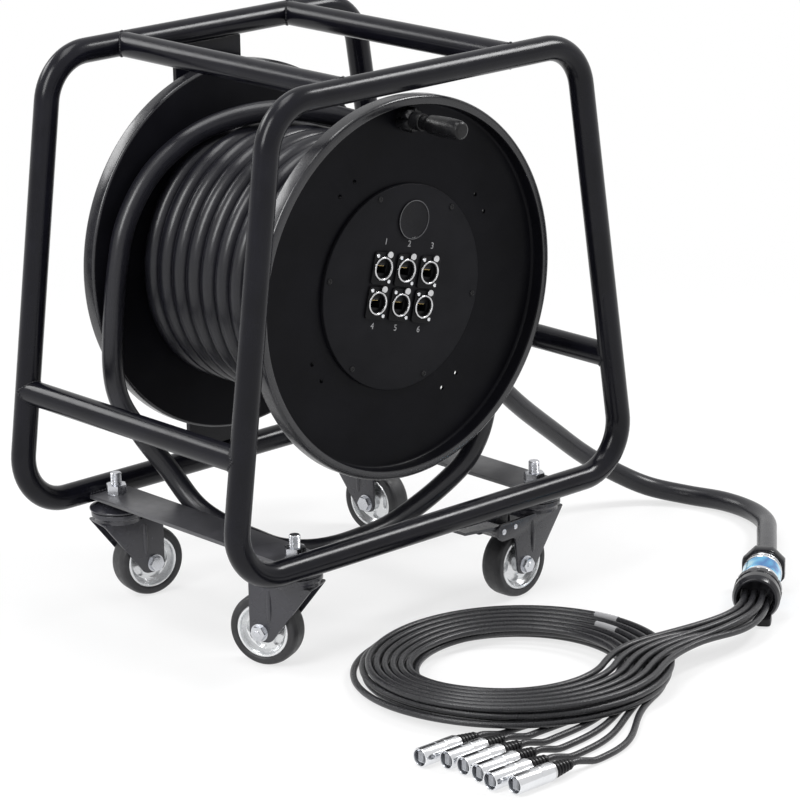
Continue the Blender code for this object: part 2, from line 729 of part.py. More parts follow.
def build_flanges(drum):
    """The two end discs of the drum."""
    near = bmesh.new()
    add_turned(near, flange_profile(NEAR_BORE, DRUM_NEAR_Y, -1), DISC_SIDES, ALONG_Y)
    holes = bmesh.new()
    reach = 2 * FLANGE_SHEET
    span = (DRUM_NEAR_Y - FLANGE_SHEET - reach, DRUM_NEAR_Y + reach)
    for diagonal in (45, 135, 225, 315):
        for side in (-FLANGE_HOLE_SPREAD, FLANGE_HOLE_SPREAD):
            turn = math.radians(diagonal + side)
            x = FLANGE_HOLE_CIRCLE * math.cos(turn)
            z = FLANGE_HOLE_CIRCLE * math.sin(turn)
            add_turned(holes, rod(FLANGE_HOLE_RADIUS, *span), BOLT_SIDES, at(x, 0, z) @ ALONG_Y)
    x, z = handle_place()
    pin_hole = corner_radius(2 * (HANDLE_PIN_RADIUS + SEAT_GAP), PIN_SIDES)
    add_turned(holes, rod(pin_hole, *span), PIN_SIDES, at(x, 0, z) @ ALONG_Y)
    make("flange_near", boolean(near, [holes], "DIFFERENCE"), drum, BLACK_PAINT)

    far = bmesh.new()
    add_turned(far, flange_profile(FAR_BORE, DRUM_FAR_Y, 1), DISC_SIDES, ALONG_Y)
    make("flange_far", far, drum, BLACK_PAINT)


def build_winding(axle):
    """The cable on the drum: plain layers below, and the outer layer turn by turn."""
    under = bmesh.new()
    bore = corner_radius(2 * (CORE_RADIUS + SEAT_GAP), CORE_SIDES)
    span = (DRUM_NEAR_Y + SEAT_GAP, DRUM_FAR_Y - SEAT_GAP)
    add_turned(under, ring(bore, UNDER_RADIUS, *span), CORE_SIDES, ALONG_Y)
    make("cable_under_layers", under, axle, CABLE_JACKET)

    straight = 2 * CABLE_RADIUS
    pitch = (WINDING_NEAR_Y - WINDING_FAR_Y) / WINDING_TURNS
    lead = Vector((0.0, 0.0, -straight))
    count = round(WINDING_TURNS * POINTS_PER_TURN)
    points = []
    for step in range(count + 1):
        turns_left = WINDING_TURNS * (1 - step / count)
        turn = 2 * math.pi * turns_left
        y = WINDING_NEAR_Y - pitch * turns_left
        points.append(Vector((WINDING_RADIUS * math.cos(turn), y, WINDING_RADIUS * math.sin(turn))))
    first_turn = Matrix.Rotation(-2 * math.pi * WINDING_TURNS, 3, "Y")
    points.insert(0, points[0] - first_turn @ lead)
    points.append(points[-1] + lead)
    tube("cable_winding", points, CABLE_RADIUS, 1, axle, CABLE_JACKET)
    print("winding, least gap to itself", round(least_gap([points], CABLE_RADIUS) * 1000, 2), "mm")


# Connector panel

def socket_places():
    """The sockets' centres on the panel, as (x, z), row by row from the top left."""
    places = []
    for row in range(SOCKET_ROWS):
        for column in range(SOCKET_COLUMNS):
            x = (column - (SOCKET_COLUMNS - 1) / 2) * SOCKET_PITCH_X
            z = ((SOCKET_ROWS - 1) / 2 - row) * SOCKET_PITCH_Z
            places.append((x, z))
    return places


def build_panel(drum):
    """The round plate that closes the drum, and the bare badge on it."""
    plate = bmesh.new()
    add_turned(plate, rod(PANEL_RADIUS, PANEL_FRONT_Y, PANEL_BACK_Y), DISC_SIDES, ALONG_Y)
    holes = bmesh.new()
    reach = 2 * PANEL_THICK
    hole_radius = corner_radius(2 * (BARREL_RADIUS + SEAT_GAP), BARREL_SIDES)
    for x, z in socket_places():
        span = (PANEL_FRONT_Y - reach, PANEL_BACK_Y + reach)
        add_turned(holes, rod(hole_radius, *span), BARREL_SIDES, at(x, 0, z) @ ALONG_Y)
    make("connector_panel", boolean(plate, [holes], "DIFFERENCE"), drum, BLACK_PLASTIC)

    badge = bmesh.new()
    back = PANEL_FRONT_Y - SEAT_GAP
    profile = [
        (0.0, back),
        (BADGE_RADIUS, back),
        (BADGE_RADIUS, back - BADGE_THICK / 2),
        (BADGE_RADIUS - BADGE_THICK, back - BADGE_THICK),
        (0.0, back - BADGE_THICK),
    ]
    add_turned(badge, profile, CORE_SIDES, at(0, 0, BADGE_RISE) @ ALONG_Y)
    make("panel_badge", badge, drum, DARK_GREY)


def build_sockets(drum):
    """Six data sockets, each with its nickel ring, and a release tab that presses in."""
    front = SOCKET_FRONT_Y
    inside = SOCKET_BACK_Y - SOCKET_PLATE / 2
    barrel_end = PANEL_FRONT_Y + BARREL_DEPTH
    plate = bmesh.new()
    outline = rounded(rectangle(SOCKET_WIDTH, SOCKET_HEIGHT), [SOCKET_CORNER] * 4, 1)
    add_prism(plate, outline, front, SOCKET_BACK_Y, ALONG_Y)
    barrel = bmesh.new()
    add_turned(barrel, rod(BARREL_RADIUS, inside, barrel_end), BARREL_SIDES, ALONG_Y)
    bezel = bmesh.new()
    bezel_outline = ring(RING_RADIUS - RING_WALL, RING_RADIUS, front - RING_THICK, inside)
    add_turned(bezel, bezel_outline, RACE_SIDES, ALONG_Y)
    mouth = bmesh.new()
    add_prism(mouth, rectangle(MOUTH_WIDTH, MOUTH_HEIGHT), front - RING_THICK, front + MOUTH_DEPTH, ALONG_Y)
    slot = bmesh.new()
    stem_z = TAB_Z - TAB_STEM_DROP
    slot_outline = rectangle(TAB_STEM_WIDTH + 2 * SEAT_GAP, TAB_STEM_HEIGHT + 2 * SEAT_GAP, TAB_X, stem_z)
    add_prism(slot, slot_outline, front - SOCKET_PLATE, SOCKET_BACK_Y + SOCKET_PLATE, ALONG_Y)
    body = boolean(boolean(plate, [barrel, bezel], "UNION"), [mouth, slot], "DIFFERENCE")

    tab_back = front - TAB_TRAVEL - SEAT_GAP
    tab = bmesh.new()
    cap = rounded(rectangle(TAB_WIDTH, TAB_HEIGHT, TAB_X, TAB_Z), [0.0, 0.0, 0.001, 0.001], 2)
    add_prism(tab, cap, tab_back - TAB_THICK, tab_back, ALONG_Y)
    stem = bmesh.new()
    stem_outline = rectangle(TAB_STEM_WIDTH, TAB_STEM_HEIGHT, TAB_X, stem_z)
    add_prism(stem, stem_outline, tab_back - TAB_THICK / 2, tab_stem_end(), ALONG_Y)
    tab = boolean(tab, [stem], "UNION")
    for index, (x, z) in enumerate(socket_places()):
        make(f"socket_{index + 1}", body.copy(), drum, BLACK_PLASTIC, (x, 0.0, z))
        make(f"latch_tab_{index + 1}", tab.copy(), drum, NICKEL, (x, 0.0, z))
    body.free()
    tab.free()


def tab_stem_end():
    """How far a release tab's stem reaches into the socket's flange at rest."""
    return SOCKET_FRONT_Y + TAB_STEM_INSERT


# Crank handle

def build_handle(drum):
    """The fixed pin, the star knob that clamps it, and the grip that turns on it."""
    x, z = handle_place()
    spot = (x, 0.0, z)
    pin = bmesh.new()
    pin_end = GRIP_END_Y + GRIP_END_WALL + SEAT_GAP
    collar_back = SHEET_FRONT_Y - SEAT_GAP
    profile = [
        (0.0, DRUM_NEAR_Y),
        (HANDLE_PIN_RADIUS, DRUM_NEAR_Y),
        (HANDLE_PIN_RADIUS, collar_back),
        (HANDLE_COLLAR_RADIUS, collar_back),
        (HANDLE_COLLAR_RADIUS, HANDLE_COLLAR_FRONT_Y),
        (HANDLE_PIN_RADIUS, HANDLE_COLLAR_FRONT_Y),
        (HANDLE_PIN_RADIUS, pin_end),
        (0.0, pin_end),
    ]
    add_turned(pin, profile, PIN_SIDES, ALONG_Y)
    make("handle_pin", pin, drum, STEEL, spot)

    bore = corner_radius(2 * (HANDLE_PIN_RADIUS + SEAT_GAP), AXLE_SIDES)
    star = bmesh.new()
    outline = []
    for step in range(KNOB_LOBES * KNOB_POINTS):
        turn = 2 * math.pi * step / (KNOB_LOBES * KNOB_POINTS)
        swell = abs(math.cos(turn * KNOB_LOBES / 2)) ** KNOB_SWELL
        reach = KNOB_VALLEY + (KNOB_RADIUS - KNOB_VALLEY) * swell
        outline.append((reach * math.cos(turn), reach * math.sin(turn)))
    add_prism(star, outline, KNOB_BACK_Y, KNOB_BACK_Y - KNOB_THICK, ALONG_Y)
    boss = bmesh.new()
    add_turned(boss, rod(KNOB_HUB_RADIUS, KNOB_FRONT_Y, KNOB_BACK_Y - KNOB_THICK / 2), AXLE_SIDES, ALONG_Y)
    hole = bmesh.new()
    add_turned(hole, rod(bore, KNOB_FRONT_Y - KNOB_THICK, KNOB_BACK_Y + KNOB_THICK), PIN_SIDES, ALONG_Y)
    knob = boolean(boolean(star, [boss], "UNION"), [hole], "DIFFERENCE")
    make("star_knob", knob, drum, BLACK_PLASTIC, spot)

    grip = bmesh.new()
    neck_end = GRIP_BACK_Y - GRIP_NECK_LENGTH
    bore_end = GRIP_END_Y + GRIP_END_WALL
    grip_profile = [
        (bore, GRIP_BACK_Y),
        (GRIP_NECK, GRIP_BACK_Y),
        (GRIP_NECK, neck_end),
        (GRIP_SHOULDER_RADIUS, GRIP_BACK_Y - GRIP_SHOULDER),
        (GRIP_RADIUS, GRIP_BACK_Y - GRIP_SWELL),
        (GRIP_SHOULDER_RADIUS, GRIP_END_Y + GRIP_END_ROUND),
        (GRIP_END_RADIUS, GRIP_END_Y),
        (0.0, GRIP_END_Y),
        (0.0, bore_end),
        (bore, bore_end),
    ]
    add_turned(grip, grip_profile, AXLE_SIDES, ALONG_Y)
    make("crank_grip", grip, drum, BLACK_PLASTIC, spot)


# Casters

def fork_outline(braked):
    """A fork side seen along the wheel's axle, from the swivel's axis and the floor."""
    toe = WHEEL_RADIUS - FORK_TOE_DROP
    heel = (FORK_TOE_BACK, toe)
    if not braked:
        corners = [(-FORK_BACK, FORK_TOP), heel, (FORK_FRONT, toe), (FORK_FRONT, FORK_TOP)]
        radii = [0.0, FORK_CORNER, FORK_CORNER, 0.0]
        return rounded(corners, radii)
    ear = FORK_TOP - EAR_DEPTH
    corners = [
        (-FORK_BACK, FORK_TOP),
        heel,
        (FORK_FRONT, toe),
        (FORK_FRONT + FORK_CROWN_CORNER, ear),
        (EAR_FRONT, ear),
        (EAR_FRONT, FORK_TOP),
    ]
    radii = [0.0, FORK_CORNER, FORK_CORNER, FORK_CROWN_CORNER, FORK_CORNER, FORK_CORNER]
    return rounded(corners, radii)


def fork_shape(braked):
    """A pressed fork with the lower race cup on its crown and the wheel's bolt across it."""
    inner = WHEEL_WIDTH / 2 + FORK_SIDE_GAP
    outer = inner + FORK_SHEET
    channel = bmesh.new()
    add_prism(channel, fork_outline(braked), -outer, outer, ALONG_Y)
    hollow = bmesh.new()
    reach = EAR_FRONT + FORK_BACK
    crown = FORK_TOP - FORK_SHEET
    add_prism(hollow, rectangle(4 * reach, 2 * inner), -crown, crown)
    hollows = [hollow]
    if braked:
        notch = bmesh.new()
        crown_front = RACE_RADIUS + FORK_CROWN_CORNER
        notch_outline = rectangle(reach, 2 * inner, crown_front + reach / 2)
        add_prism(notch, notch_outline, crown - FORK_SHEET, FORK_TOP + FORK_SHEET)
        hollows.append(notch)
    cup = bmesh.new()
    cup_radius = RACE_RADIUS - RACE_STEP
    cup_profile = [
        (0.0, crown + FORK_SHEET / 2),
        (cup_radius - RACE_STEP, crown + FORK_SHEET / 2),
        (cup_radius - RACE_STEP, FORK_TOP + RACE_STEP),
        (cup_radius, FORK_TOP + 2 * RACE_STEP),
        (cup_radius, FORK_TOP + RACE_LOWER),
        (0.0, FORK_TOP + RACE_LOWER),
    ]
    add_turned(cup, cup_profile, RACE_SIDES)
    bore = bmesh.new()
    pin_bore = corner_radius(2 * (KINGPIN_RADIUS + RUN_GAP), RACE_SIDES)
    add_turned(bore, rod(pin_bore, crown - FORK_SHEET, FORK_TOP + 2 * RACE_LOWER), RACE_SIDES)
    pins = bmesh.new()
    heads = bmesh.new()
    sides = (-outer - AXLE_HEAD, outer - FORK_SHEET / 2)
    axle = at(CASTER_TRAIL, 0, WHEEL_RADIUS) @ ALONG_Y
    add_turned(pins, rod(WHEEL_AXLE_RADIUS, -outer - AXLE_HEAD / 2, outer + AXLE_HEAD / 2), PIN_SIDES, axle)
    for low in sides:
        add_prism(heads, hexagon(AXLE_HEAD_FLATS), low, low + AXLE_HEAD + FORK_SHEET / 2, axle)
    if braked:
        pin = at(PEDAL_PIN_X, 0, FORK_TOP - PEDAL_PIN_DROP) @ ALONG_Y
        rivet = rod(PEDAL_PIN_RADIUS, -outer - RIVET_HEAD / 2, outer + RIVET_HEAD / 2)
        add_turned(pins, rivet, PIN_SIDES, pin)
        for low in (-outer - RIVET_HEAD, outer - FORK_SHEET / 2):
            add_turned(heads, rod(RIVET_HEAD_RADIUS, low, low + RIVET_HEAD + FORK_SHEET / 2), PIN_SIDES, pin)
    pressed = boolean(channel, hollows, "DIFFERENCE")
    cupped = boolean(boolean(pressed, [cup], "UNION"), [bore], "DIFFERENCE")
    return boolean(cupped, [pins, heads], "UNION")


def wheel_shape():
    """A tyre moulded on a dished hub, turning on the fork's bolt."""
    half = WHEEL_WIDTH / 2
    rim = WHEEL_RADIUS - TYRE_THICK - HUB_RIM
    bore = corner_radius(2 * (WHEEL_AXLE_RADIUS + RUN_GAP), WHEEL_SIDES)
    web = HUB_WEB / 2
    boss = half + FORK_SIDE_GAP - RUN_GAP
    side = [
        (bore, boss),
        (HUB_BOSS_RADIUS, boss),
        (HUB_BOSS_RADIUS, web),
        (rim, web),
        (rim, half),
        (WHEEL_RADIUS - 2 * TYRE_CROWN, half),
        (WHEEL_RADIUS, half - 2 * TYRE_CROWN),
    ]
    profile = side + [(radius, -y) for radius, y in reversed(side)]
    wheel = bmesh.new()
    corner_down = ALONG_Y @ Matrix.Rotation(math.pi / WHEEL_SIDES, 4, "Z")
    add_turned(wheel, profile, WHEEL_SIDES, corner_down)
    holes = bmesh.new()
    circle = (HUB_BOSS_RADIUS + rim) / 2
    for step in range(HUB_HOLES):
        turn = 2 * math.pi * step / HUB_HOLES
        place = at(circle * math.cos(turn), 0, circle * math.sin(turn)) @ ALONG_Y
        add_turned(holes, rod(HUB_HOLE_RADIUS, -half, half), BOLT_SIDES, place)
    return boolean(wheel, [holes], "DIFFERENCE")


def build_pedal(swivel):
    """The brake's pedal on its pin, with the pad that presses the tyre."""
    inner = WHEEL_WIDTH / 2 + FORK_SIDE_GAP
    spot = (PEDAL_PIN_X, 0.0, FORK_TOP - PEDAL_PIN_DROP)
    bore = corner_radius(2 * (PEDAL_PIN_RADIUS + RUN_GAP), PIN_SIDES)
    half = inner - RUN_GAP
    barrel = bmesh.new()
    add_turned(barrel, rod(PEDAL_BARREL, -half, half), BARREL_SIDES, ALONG_Y)
    tongue = bmesh.new()
    outline = [
        (0.0, PEDAL_BARREL - PEDAL_SHEET),
        (PEDAL_REACH, PEDAL_BARREL - PEDAL_SHEET + PEDAL_RISE),
        (PEDAL_REACH, PEDAL_BARREL + PEDAL_RISE),
        (0.0, PEDAL_BARREL),
    ]
    add_prism(tongue, outline, -half, half, ALONG_Y)
    pad = bmesh.new()
    pad_outline = [
        (-PEDAL_BARREL, 0.0),
        (-PEDAL_BARREL, -PEDAL_PAD_DROP / 2),
        (0.0, -PEDAL_PAD_DROP),
        (PEDAL_BARREL, 0.0),
    ]
    add_prism(pad, pad_outline, -half + FORK_SHEET, half - FORK_SHEET, ALONG_Y)
    hole = bmesh.new()
    add_turned(hole, rod(bore, -2 * half, 2 * half), PIN_SIDES, ALONG_Y)
    pedal = boolean(boolean(barrel, [tongue, pad], "UNION"), [hole], "DIFFERENCE")
    make("brake_pedal", pedal, swivel, BLACK_PAINT, spot)


def build_casters(root):
    """Four swivel casters; each empty stands on its swivel's axis."""
    headings = {
        "left_far": (-CASTER_X, CASTER_Y, -10.0),
        "left_near": (-CASTER_X, -CASTER_Y, 113.0),
        "right_near": (CASTER_X, -CASTER_Y, 183.0),
        "right_far": (CASTER_X, CASTER_Y, -84.0),
    }
    plain_fork = fork_shape(False)
    braked_fork = fork_shape(True)
    wheel = wheel_shape()
    spot = (CASTER_TRAIL, 0.0, WHEEL_RADIUS)
    for label, (x, y, heading) in headings.items():
        swivel = empty(f"swivel_{label}", (x, y, 0.0), root, (0.0, 0.0, math.radians(heading)))
        braked = label == "right_near"
        fork = braked_fork if braked else plain_fork
        make(f"caster_fork_{label}", fork.copy(), swivel, BLACK_PAINT)
        make(f"caster_wheel_{label}", wheel.copy(), swivel, BLACK_RUBBER, spot)
        if braked:
            build_pedal(swivel)
    for shape in (plain_fork, braked_fork, wheel):
        shape.free()


# Free cable

def smooth(route, spacing):
    """Points at a steady spacing along a smooth curve through the route's points."""
    knots = [Vector(point) for point in route]
    knots.insert(0, 2 * knots[0] - knots[1])
    knots.append(2 * knots[-1] - knots[-2])
    fine = []
    for before, start, end, after in zip(knots, knots[1:], knots[2:], knots[3:]):
        chord = (end - start).length
        into = (end - before).normalized() * chord
        out = (after - start).normalized() * chord
        pieces = max(2, round(chord / FINE_STEP))
        for step in range(pieces):
            t = step / pieces
            hermite = (
                start * (2 * t**3 - 3 * t**2 + 1)
                + into * (t**3 - 2 * t**2 + t)
                + end * (3 * t**2 - 2 * t**3)
                + out * (t**3 - t**2)
            )
            fine.append(hermite)
    fine.append(knots[-2])
    lengths = np.cumsum([0.0] + [(b - a).length for a, b in zip(fine, fine[1:])])
    count = round(lengths[-1] / spacing)
    marks = np.linspace(0.0, lengths[-1], count + 1)
    places = np.array([tuple(point) for point in fine])
    return [Vector([np.interp(mark, lengths, places[:, axis]) for axis in range(3)]) for mark in marks]


def spread(points, step):
    """Points along a polyline, no further apart than the step."""
    dense = []
    for start, end in zip(points, points[1:]):
        pieces = max(1, math.ceil((end - start).length / step))
        dense += [start.lerp(end, piece / pieces) for piece in range(pieces)]
    dense.append(points[-1])
    return np.array([tuple(point) for point in dense])


def least_gap(runs, radius):
    """The least gap between tubes, and between stretches of one tube that lie apart."""
    step = radius / 2
    near = math.pi * radius + 2 * step
    rows = [spread(points, step) for points in runs]
    marks = [np.cumsum(np.r_[0, np.linalg.norm(np.diff(row, axis=0), axis=1)]) for row in rows]
    least = math.inf
    for first in range(len(rows)):
        for second in range(first, len(rows)):
            for index in range(len(rows[first])):
                apart = np.linalg.norm(rows[second] - rows[first][index], axis=1)
                if first == second:
                    apart = apart[np.abs(marks[first] - marks[first][index]) > 2 * near]
                if len(apart):
                    least = min(least, apart.min())
    return least - 2 * radius


def coupling_point(along, across=0.0, up=0.0):
    """A point in the coupling: along its axis from the rear, across it, and above it."""
    turn = math.radians(COUPLING_HEADING)
    way = Vector((math.cos(turn), math.sin(turn), 0.0))
    side = Vector((-way.y, way.x, 0.0))
    mouth = Vector((*COUPLING_MOUTH, FRONT_NUT_RADIUS))
    return mouth + way * (along - COUPLING_LENGTH) + side * across + Vector((0.0, 0.0, up))


def build_free_cable(root):
    """The cable from the winding's end, in a slack loop round the drum, to the coupling."""
    top = AXLE_Z - 2 * CABLE_RADIUS - SEAT_GAP
    rear = coupling_point(-SEAT_GAP)
    before_rear = coupling_point(-SEAT_GAP - 2 * CABLE_RADIUS)
    route = [
        (WINDING_RADIUS, WINDING_NEAR_Y, top),
        (WINDING_RADIUS, WINDING_NEAR_Y, top - 2 * CABLE_RADIUS),
        (0.1300, -0.1030, 0.2500),
        (0.1310, -0.1020, 0.2050),
        (0.1180, -0.1000, 0.1600),
        (0.0870, -0.1000, 0.1310),
        (0.0050, -0.1000, 0.0990),
        (-0.0450, -0.1000, 0.0930),
        (-0.0930, -0.0960, 0.0930),
        (-0.1180, -0.0720, 0.0935),
        (-0.1200, -0.0300, 0.0940),
        (-0.1200, 0.0150, 0.0970),
        (-0.1240, 0.0550, 0.1100),
        (-0.1320, 0.0870, 0.1430),
        (-0.1520, 0.1030, 0.1800),
        (-0.1760, 0.1075, 0.2250),
        (-0.1800, 0.1080, 0.2750),
        (-0.1650, 0.1070, 0.3780),
        (-0.1420, 0.1065, 0.4230),
        (-0.1060, 0.1050, 0.4560),
        (-0.0580, 0.0950, 0.4800),
        (-0.0060, 0.0620, 0.4930),
        (0.0420, 0.0250, 0.4865),
        (0.0900, 0.0000, 0.4640),
        (0.1330, -0.0130, 0.4150),
        (0.1500, -0.0180, 0.3500),
        (0.1620, -0.0200, 0.2850),
        (0.1920, -0.0200, 0.2180),
        (0.2360, -0.0200, 0.1640),
        (0.3240, -0.0110, 0.0940),
        (0.3620, -0.0100, 0.0650),
        (0.4000, -0.0160, 0.0390),
        (0.4330, -0.0340, 0.0190),
        (0.4580, -0.0680, 0.0110),
        (0.4700, -0.1120, 0.0108),
        (0.4660, -0.1550, 0.0112),
        (0.4450, -0.1950, 0.0135),
        (0.4100, -0.2290, 0.0180),
        tuple(before_rear),
        tuple(rear),
    ]
    points = smooth(route, CABLE_STEP)
    points.insert(1, Vector(route[1]))
    points.insert(-1, before_rear)
    tube("free_cable", points, CABLE_RADIUS, 2, root, CABLE_JACKET)
    length = sum((b - a).length for a, b in zip(points, points[1:]))
    print("free cable", round(length, 3), "m,", len(points), "points, least gap",
          round(least_gap([points], CABLE_RADIUS) * 1000, 1), "mm")


# Breakout coupling, data cables and plugs

def build_coupling(root):
    """The coupling where the cable splits into six: rear nut, sleeve and front nut."""
    turn = Matrix.Rotation(math.radians(COUPLING_HEADING), 4, "Z")
    frame = Matrix.Translation(coupling_point(0.0)) @ turn @ Matrix.Rotation(math.pi / 2, 4, "Y")
    sleeve_low = REAR_NUT + SEAT_GAP
    sleeve_high = sleeve_low + SLEEVE_LENGTH
    nut_low = sleeve_high + SEAT_GAP
    nut_high = nut_low + FRONT_NUT

    rear = bmesh.new()
    collar = corner_radius(REAR_NUT_FLATS, 8)
    rear_profile = [
        (0.0, 0.0),
        (REAR_NUT_NOSE_RADIUS, 0.0),
        (collar, REAR_NUT_NOSE),
        (collar, REAR_NUT),
        (0.0, REAR_NUT),
    ]
    add_turned(rear, rear_profile, 8, frame)
    make("coupling_rear_nut", rear, root, BLACK_PLASTIC)

    sleeve = bmesh.new()
    sleeve_profile = [
        (0.0, sleeve_low),
        (SLEEVE_RADIUS - SLEEVE_EDGE, sleeve_low),
        (SLEEVE_RADIUS, sleeve_low + SLEEVE_EDGE),
        (SLEEVE_RADIUS, sleeve_high - SLEEVE_EDGE),
        (SLEEVE_RADIUS - SLEEVE_EDGE, sleeve_high),
        (0.0, sleeve_high),
    ]
    add_turned(sleeve, sleeve_profile, WHEEL_SIDES, frame)
    make("coupling_sleeve", sleeve, root, BLUE_CHROME)

    front = bmesh.new()
    front_profile = [
        (0.0, nut_low),
        (FRONT_NUT_RADIUS - FRONT_NUT_EDGE, nut_low),
        (FRONT_NUT_RADIUS, nut_low + FRONT_NUT_EDGE),
        (FRONT_NUT_RADIUS, nut_high - FRONT_NUT_TAPER),
        (FRONT_MOUTH_RADIUS + FRONT_LIP, nut_high),
        (FRONT_MOUTH_RADIUS, nut_high),
        (FRONT_THROAT_RADIUS, nut_high - FRONT_MOUTH_DEPTH),
        (0.0, nut_high - FRONT_MOUTH_DEPTH),
    ]
    add_turned(front, front_profile, WHEEL_SIDES, frame)
    make("coupling_front_nut", front, root, DARK_GREY)


def coil_layer(layer):
    """Centre and outer radius of one layer of the coil, from the floor up."""
    centres = [(-0.0390, -0.3040), (-0.0350, -0.3090), (-0.0310, -0.3130), (-0.0350, -0.3110)]
    radii = [0.1500, 0.1475, 0.1440, 0.1430]
    return Vector(centres[layer]), radii[layer]


def ease(share):
    """A smooth step from 0 to 1."""
    share = min(1.0, max(0.0, share))
    return share * share * (3 - 2 * share)


def coil_point(strand, travel):
    """A strand's centre after some degrees round the coil, clockwise from its near side."""
    dropped = math.floor((travel - CLIMB_START) / 360)
    share = ease((travel - CLIMB_START - 360 * dropped) / CLIMB_SPAN)
    upper = min(COIL_TURNS, COIL_TURNS - 1 - dropped)
    lower = max(0, COIL_TURNS - 2 - dropped)
    upper_centre, upper_radius = coil_layer(upper)
    lower_centre, lower_radius = coil_layer(lower)
    centre = upper_centre.lerp(lower_centre, share)
    radius = upper_radius + (lower_radius - upper_radius) * share
    level = upper + (lower - upper) * share
    loose = 0.5 + 0.5 * math.cos(math.radians(travel - 100 - 70 * level))
    pitch = STRAND_PITCH + STRAND_SPREAD * loose
    radius -= strand * pitch
    turn = math.radians(-90 - travel)
    height = STRAND_RADIUS + SEAT_GAP / 2 + level * LAYER_STEP
    return Vector((centre.x + radius * math.cos(turn), centre.y + radius * math.sin(turn), height))


def bezier(start, start_way, end, end_way, count):
    """Points on a cubic from start to end, without either end point."""
    points = []
    for step in range(1, count):
        t = step / count
        u = 1 - t
        first = start + start_way
        second = end - end_way
        point = start * u**3 + first * 3 * u * u * t + second * 3 * u * t * t + end * t**3
        point.z = start.z + (end.z - start.z) * ease((t - RISE_FROM) / (RISE_TO - RISE_FROM))
        points.append(point)
    return points


def strand_points(strand, plug_back):
    """One data cable: out of the coupling, three turns down the coil, into its plug."""
    turn = math.radians(COUPLING_HEADING)
    way = Vector((math.cos(turn), math.sin(turn), 0.0))
    side = 1 if strand % 2 else -1
    column = strand // 2 - 1
    depth = COUPLING_LENGTH - FRONT_MOUTH_DEPTH + SEAT_GAP
    across = (column + side / 4) * BUNDLE_PITCH
    start = coupling_point(depth, -across, side * BUNDLE_ROWS / 2)
    leave = start + way * BUNDLE_STRAIGHT
    step = 360.0 / COIL_POINTS_PER_TURN
    turns = np.arange(COIL_ENTRY, COIL_EXIT + step / 2, step)
    ring_points = [coil_point(strand, travel) for travel in turns]
    run_in = (ring_points[1] - ring_points[0]).normalized()
    run_out = (ring_points[-1] - ring_points[-2]).normalized()
    reach_in = BEND_REACH * (ring_points[0] - leave).length
    back = Vector(plug_back)
    plug_way = Vector((-1.0, 0.0, 0.0))
    near_plug = back - plug_way * 2 * STRAND_RADIUS
    low = Vector((back.x + PLUG_RUN, back.y, ring_points[-1].z))
    half_way = Vector(((low.x + near_plug.x) / 2, back.y, (low.z + near_plug.z) / 2))
    reach_out = BEND_REACH * (low - ring_points[-1]).length
    points = [start, leave]
    points += bezier(leave, way * reach_in, ring_points[0], run_in * reach_in, BEND_PARTS)
    points += ring_points
    points += bezier(ring_points[-1], run_out * reach_out, low, plug_way * reach_out, BEND_PARTS)
    points += [low, half_way, near_plug, back]
    return points


def plug_fronts():
    """Where each plug's open end lies on the floor, for the outermost strand first."""
    return [
        (-0.2340, -0.5140),
        (-0.2430, -0.4925),
        (-0.2380, -0.4715),
        (-0.2360, -0.4505),
        (-0.2370, -0.4295),
        (-0.2500, -0.4085),
    ]


def build_plugs(root):
    """Six plugs on the floor: a bright shell with an open mouth, and a dark boot."""
    backs = []
    height = PLUG_RADIUS + SEAT_GAP
    length = PLUG_SHELL + BOOT_LENGTH
    profile = [
        (0.0, PLUG_BORE_DEPTH),
        (PLUG_BORE, PLUG_BORE_DEPTH),
        (PLUG_BORE, 0.0),
        (PLUG_RADIUS, 0.0),
        (PLUG_RADIUS, PLUG_SHELL),
        (BOOT_RADIUS, PLUG_SHELL),
        (BOOT_RADIUS, PLUG_SHELL + BOOT_STRAIGHT),
        (BOOT_TIP_RADIUS, length),
        (0.0, length),
    ]
    for index, (x, y) in enumerate(plug_fronts()):
        frame = at(x, y, height) @ Matrix.Rotation(math.radians(PLUG_HEADING), 4, "Z")
        frame = frame @ Matrix.Rotation(-math.pi / 2, 4, "Y")
        plug = bmesh.new()
        add_turned(plug, profile, BARREL_SIDES, frame)
        make(f"data_plug_{index + 1}", plug, root, CHROME)
        backs.append(frame @ Vector((0.0, 0.0, length + SEAT_GAP)))
    return backs


def build_breakout(root):
    """The coupling, the six data cables in their coil, and their plugs."""
    build_coupling(root)
    backs = build_plugs(root)
    runs = [strand_points(strand, backs[strand]) for strand in range(STRANDS)]
    for index, run in enumerate(runs):
        tube(f"data_cable_{index + 1}", run, STRAND_RADIUS, 1, root, BRAID)
    lengths = [sum((b - a).length for a, b in zip(run, run[1:])) for run in runs]
    print("data cables", [round(length, 3) for length in lengths], "m, least gap",
          round(least_gap(runs, STRAND_RADIUS) * 1000, 2), "mm")


def build():
    """Model the whole reel."""
    for thing in list(bpy.data.objects):
        bpy.data.objects.remove(thing, do_unlink=True)
    root = empty("reel", (0.0, -CENTRE_Y, 0.0))
    axle = empty("axle", (0.0, 0.0, AXLE_Z), root)
    drum = empty("drum", (0.0, 0.0, 0.0), axle, (0.0, math.radians(DRUM_TURN), 0.0))
    build_frame(root)
    build_upright(root)
    build_axle(root)
    build_core(drum)
    build_bushes(drum)
    build_flanges(drum)
    build_winding(axle)
    build_panel(drum)
    build_sockets(drum)
    build_handle(drum)
    build_casters(root)
    build_free_cable(root)
    build_breakout(root)
    bpy.context.view_layer.update()


build()
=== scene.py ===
"""Looks of the network cable reel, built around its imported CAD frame."""
import math

import bmesh
import bpy
from mathutils import Matrix, Vector


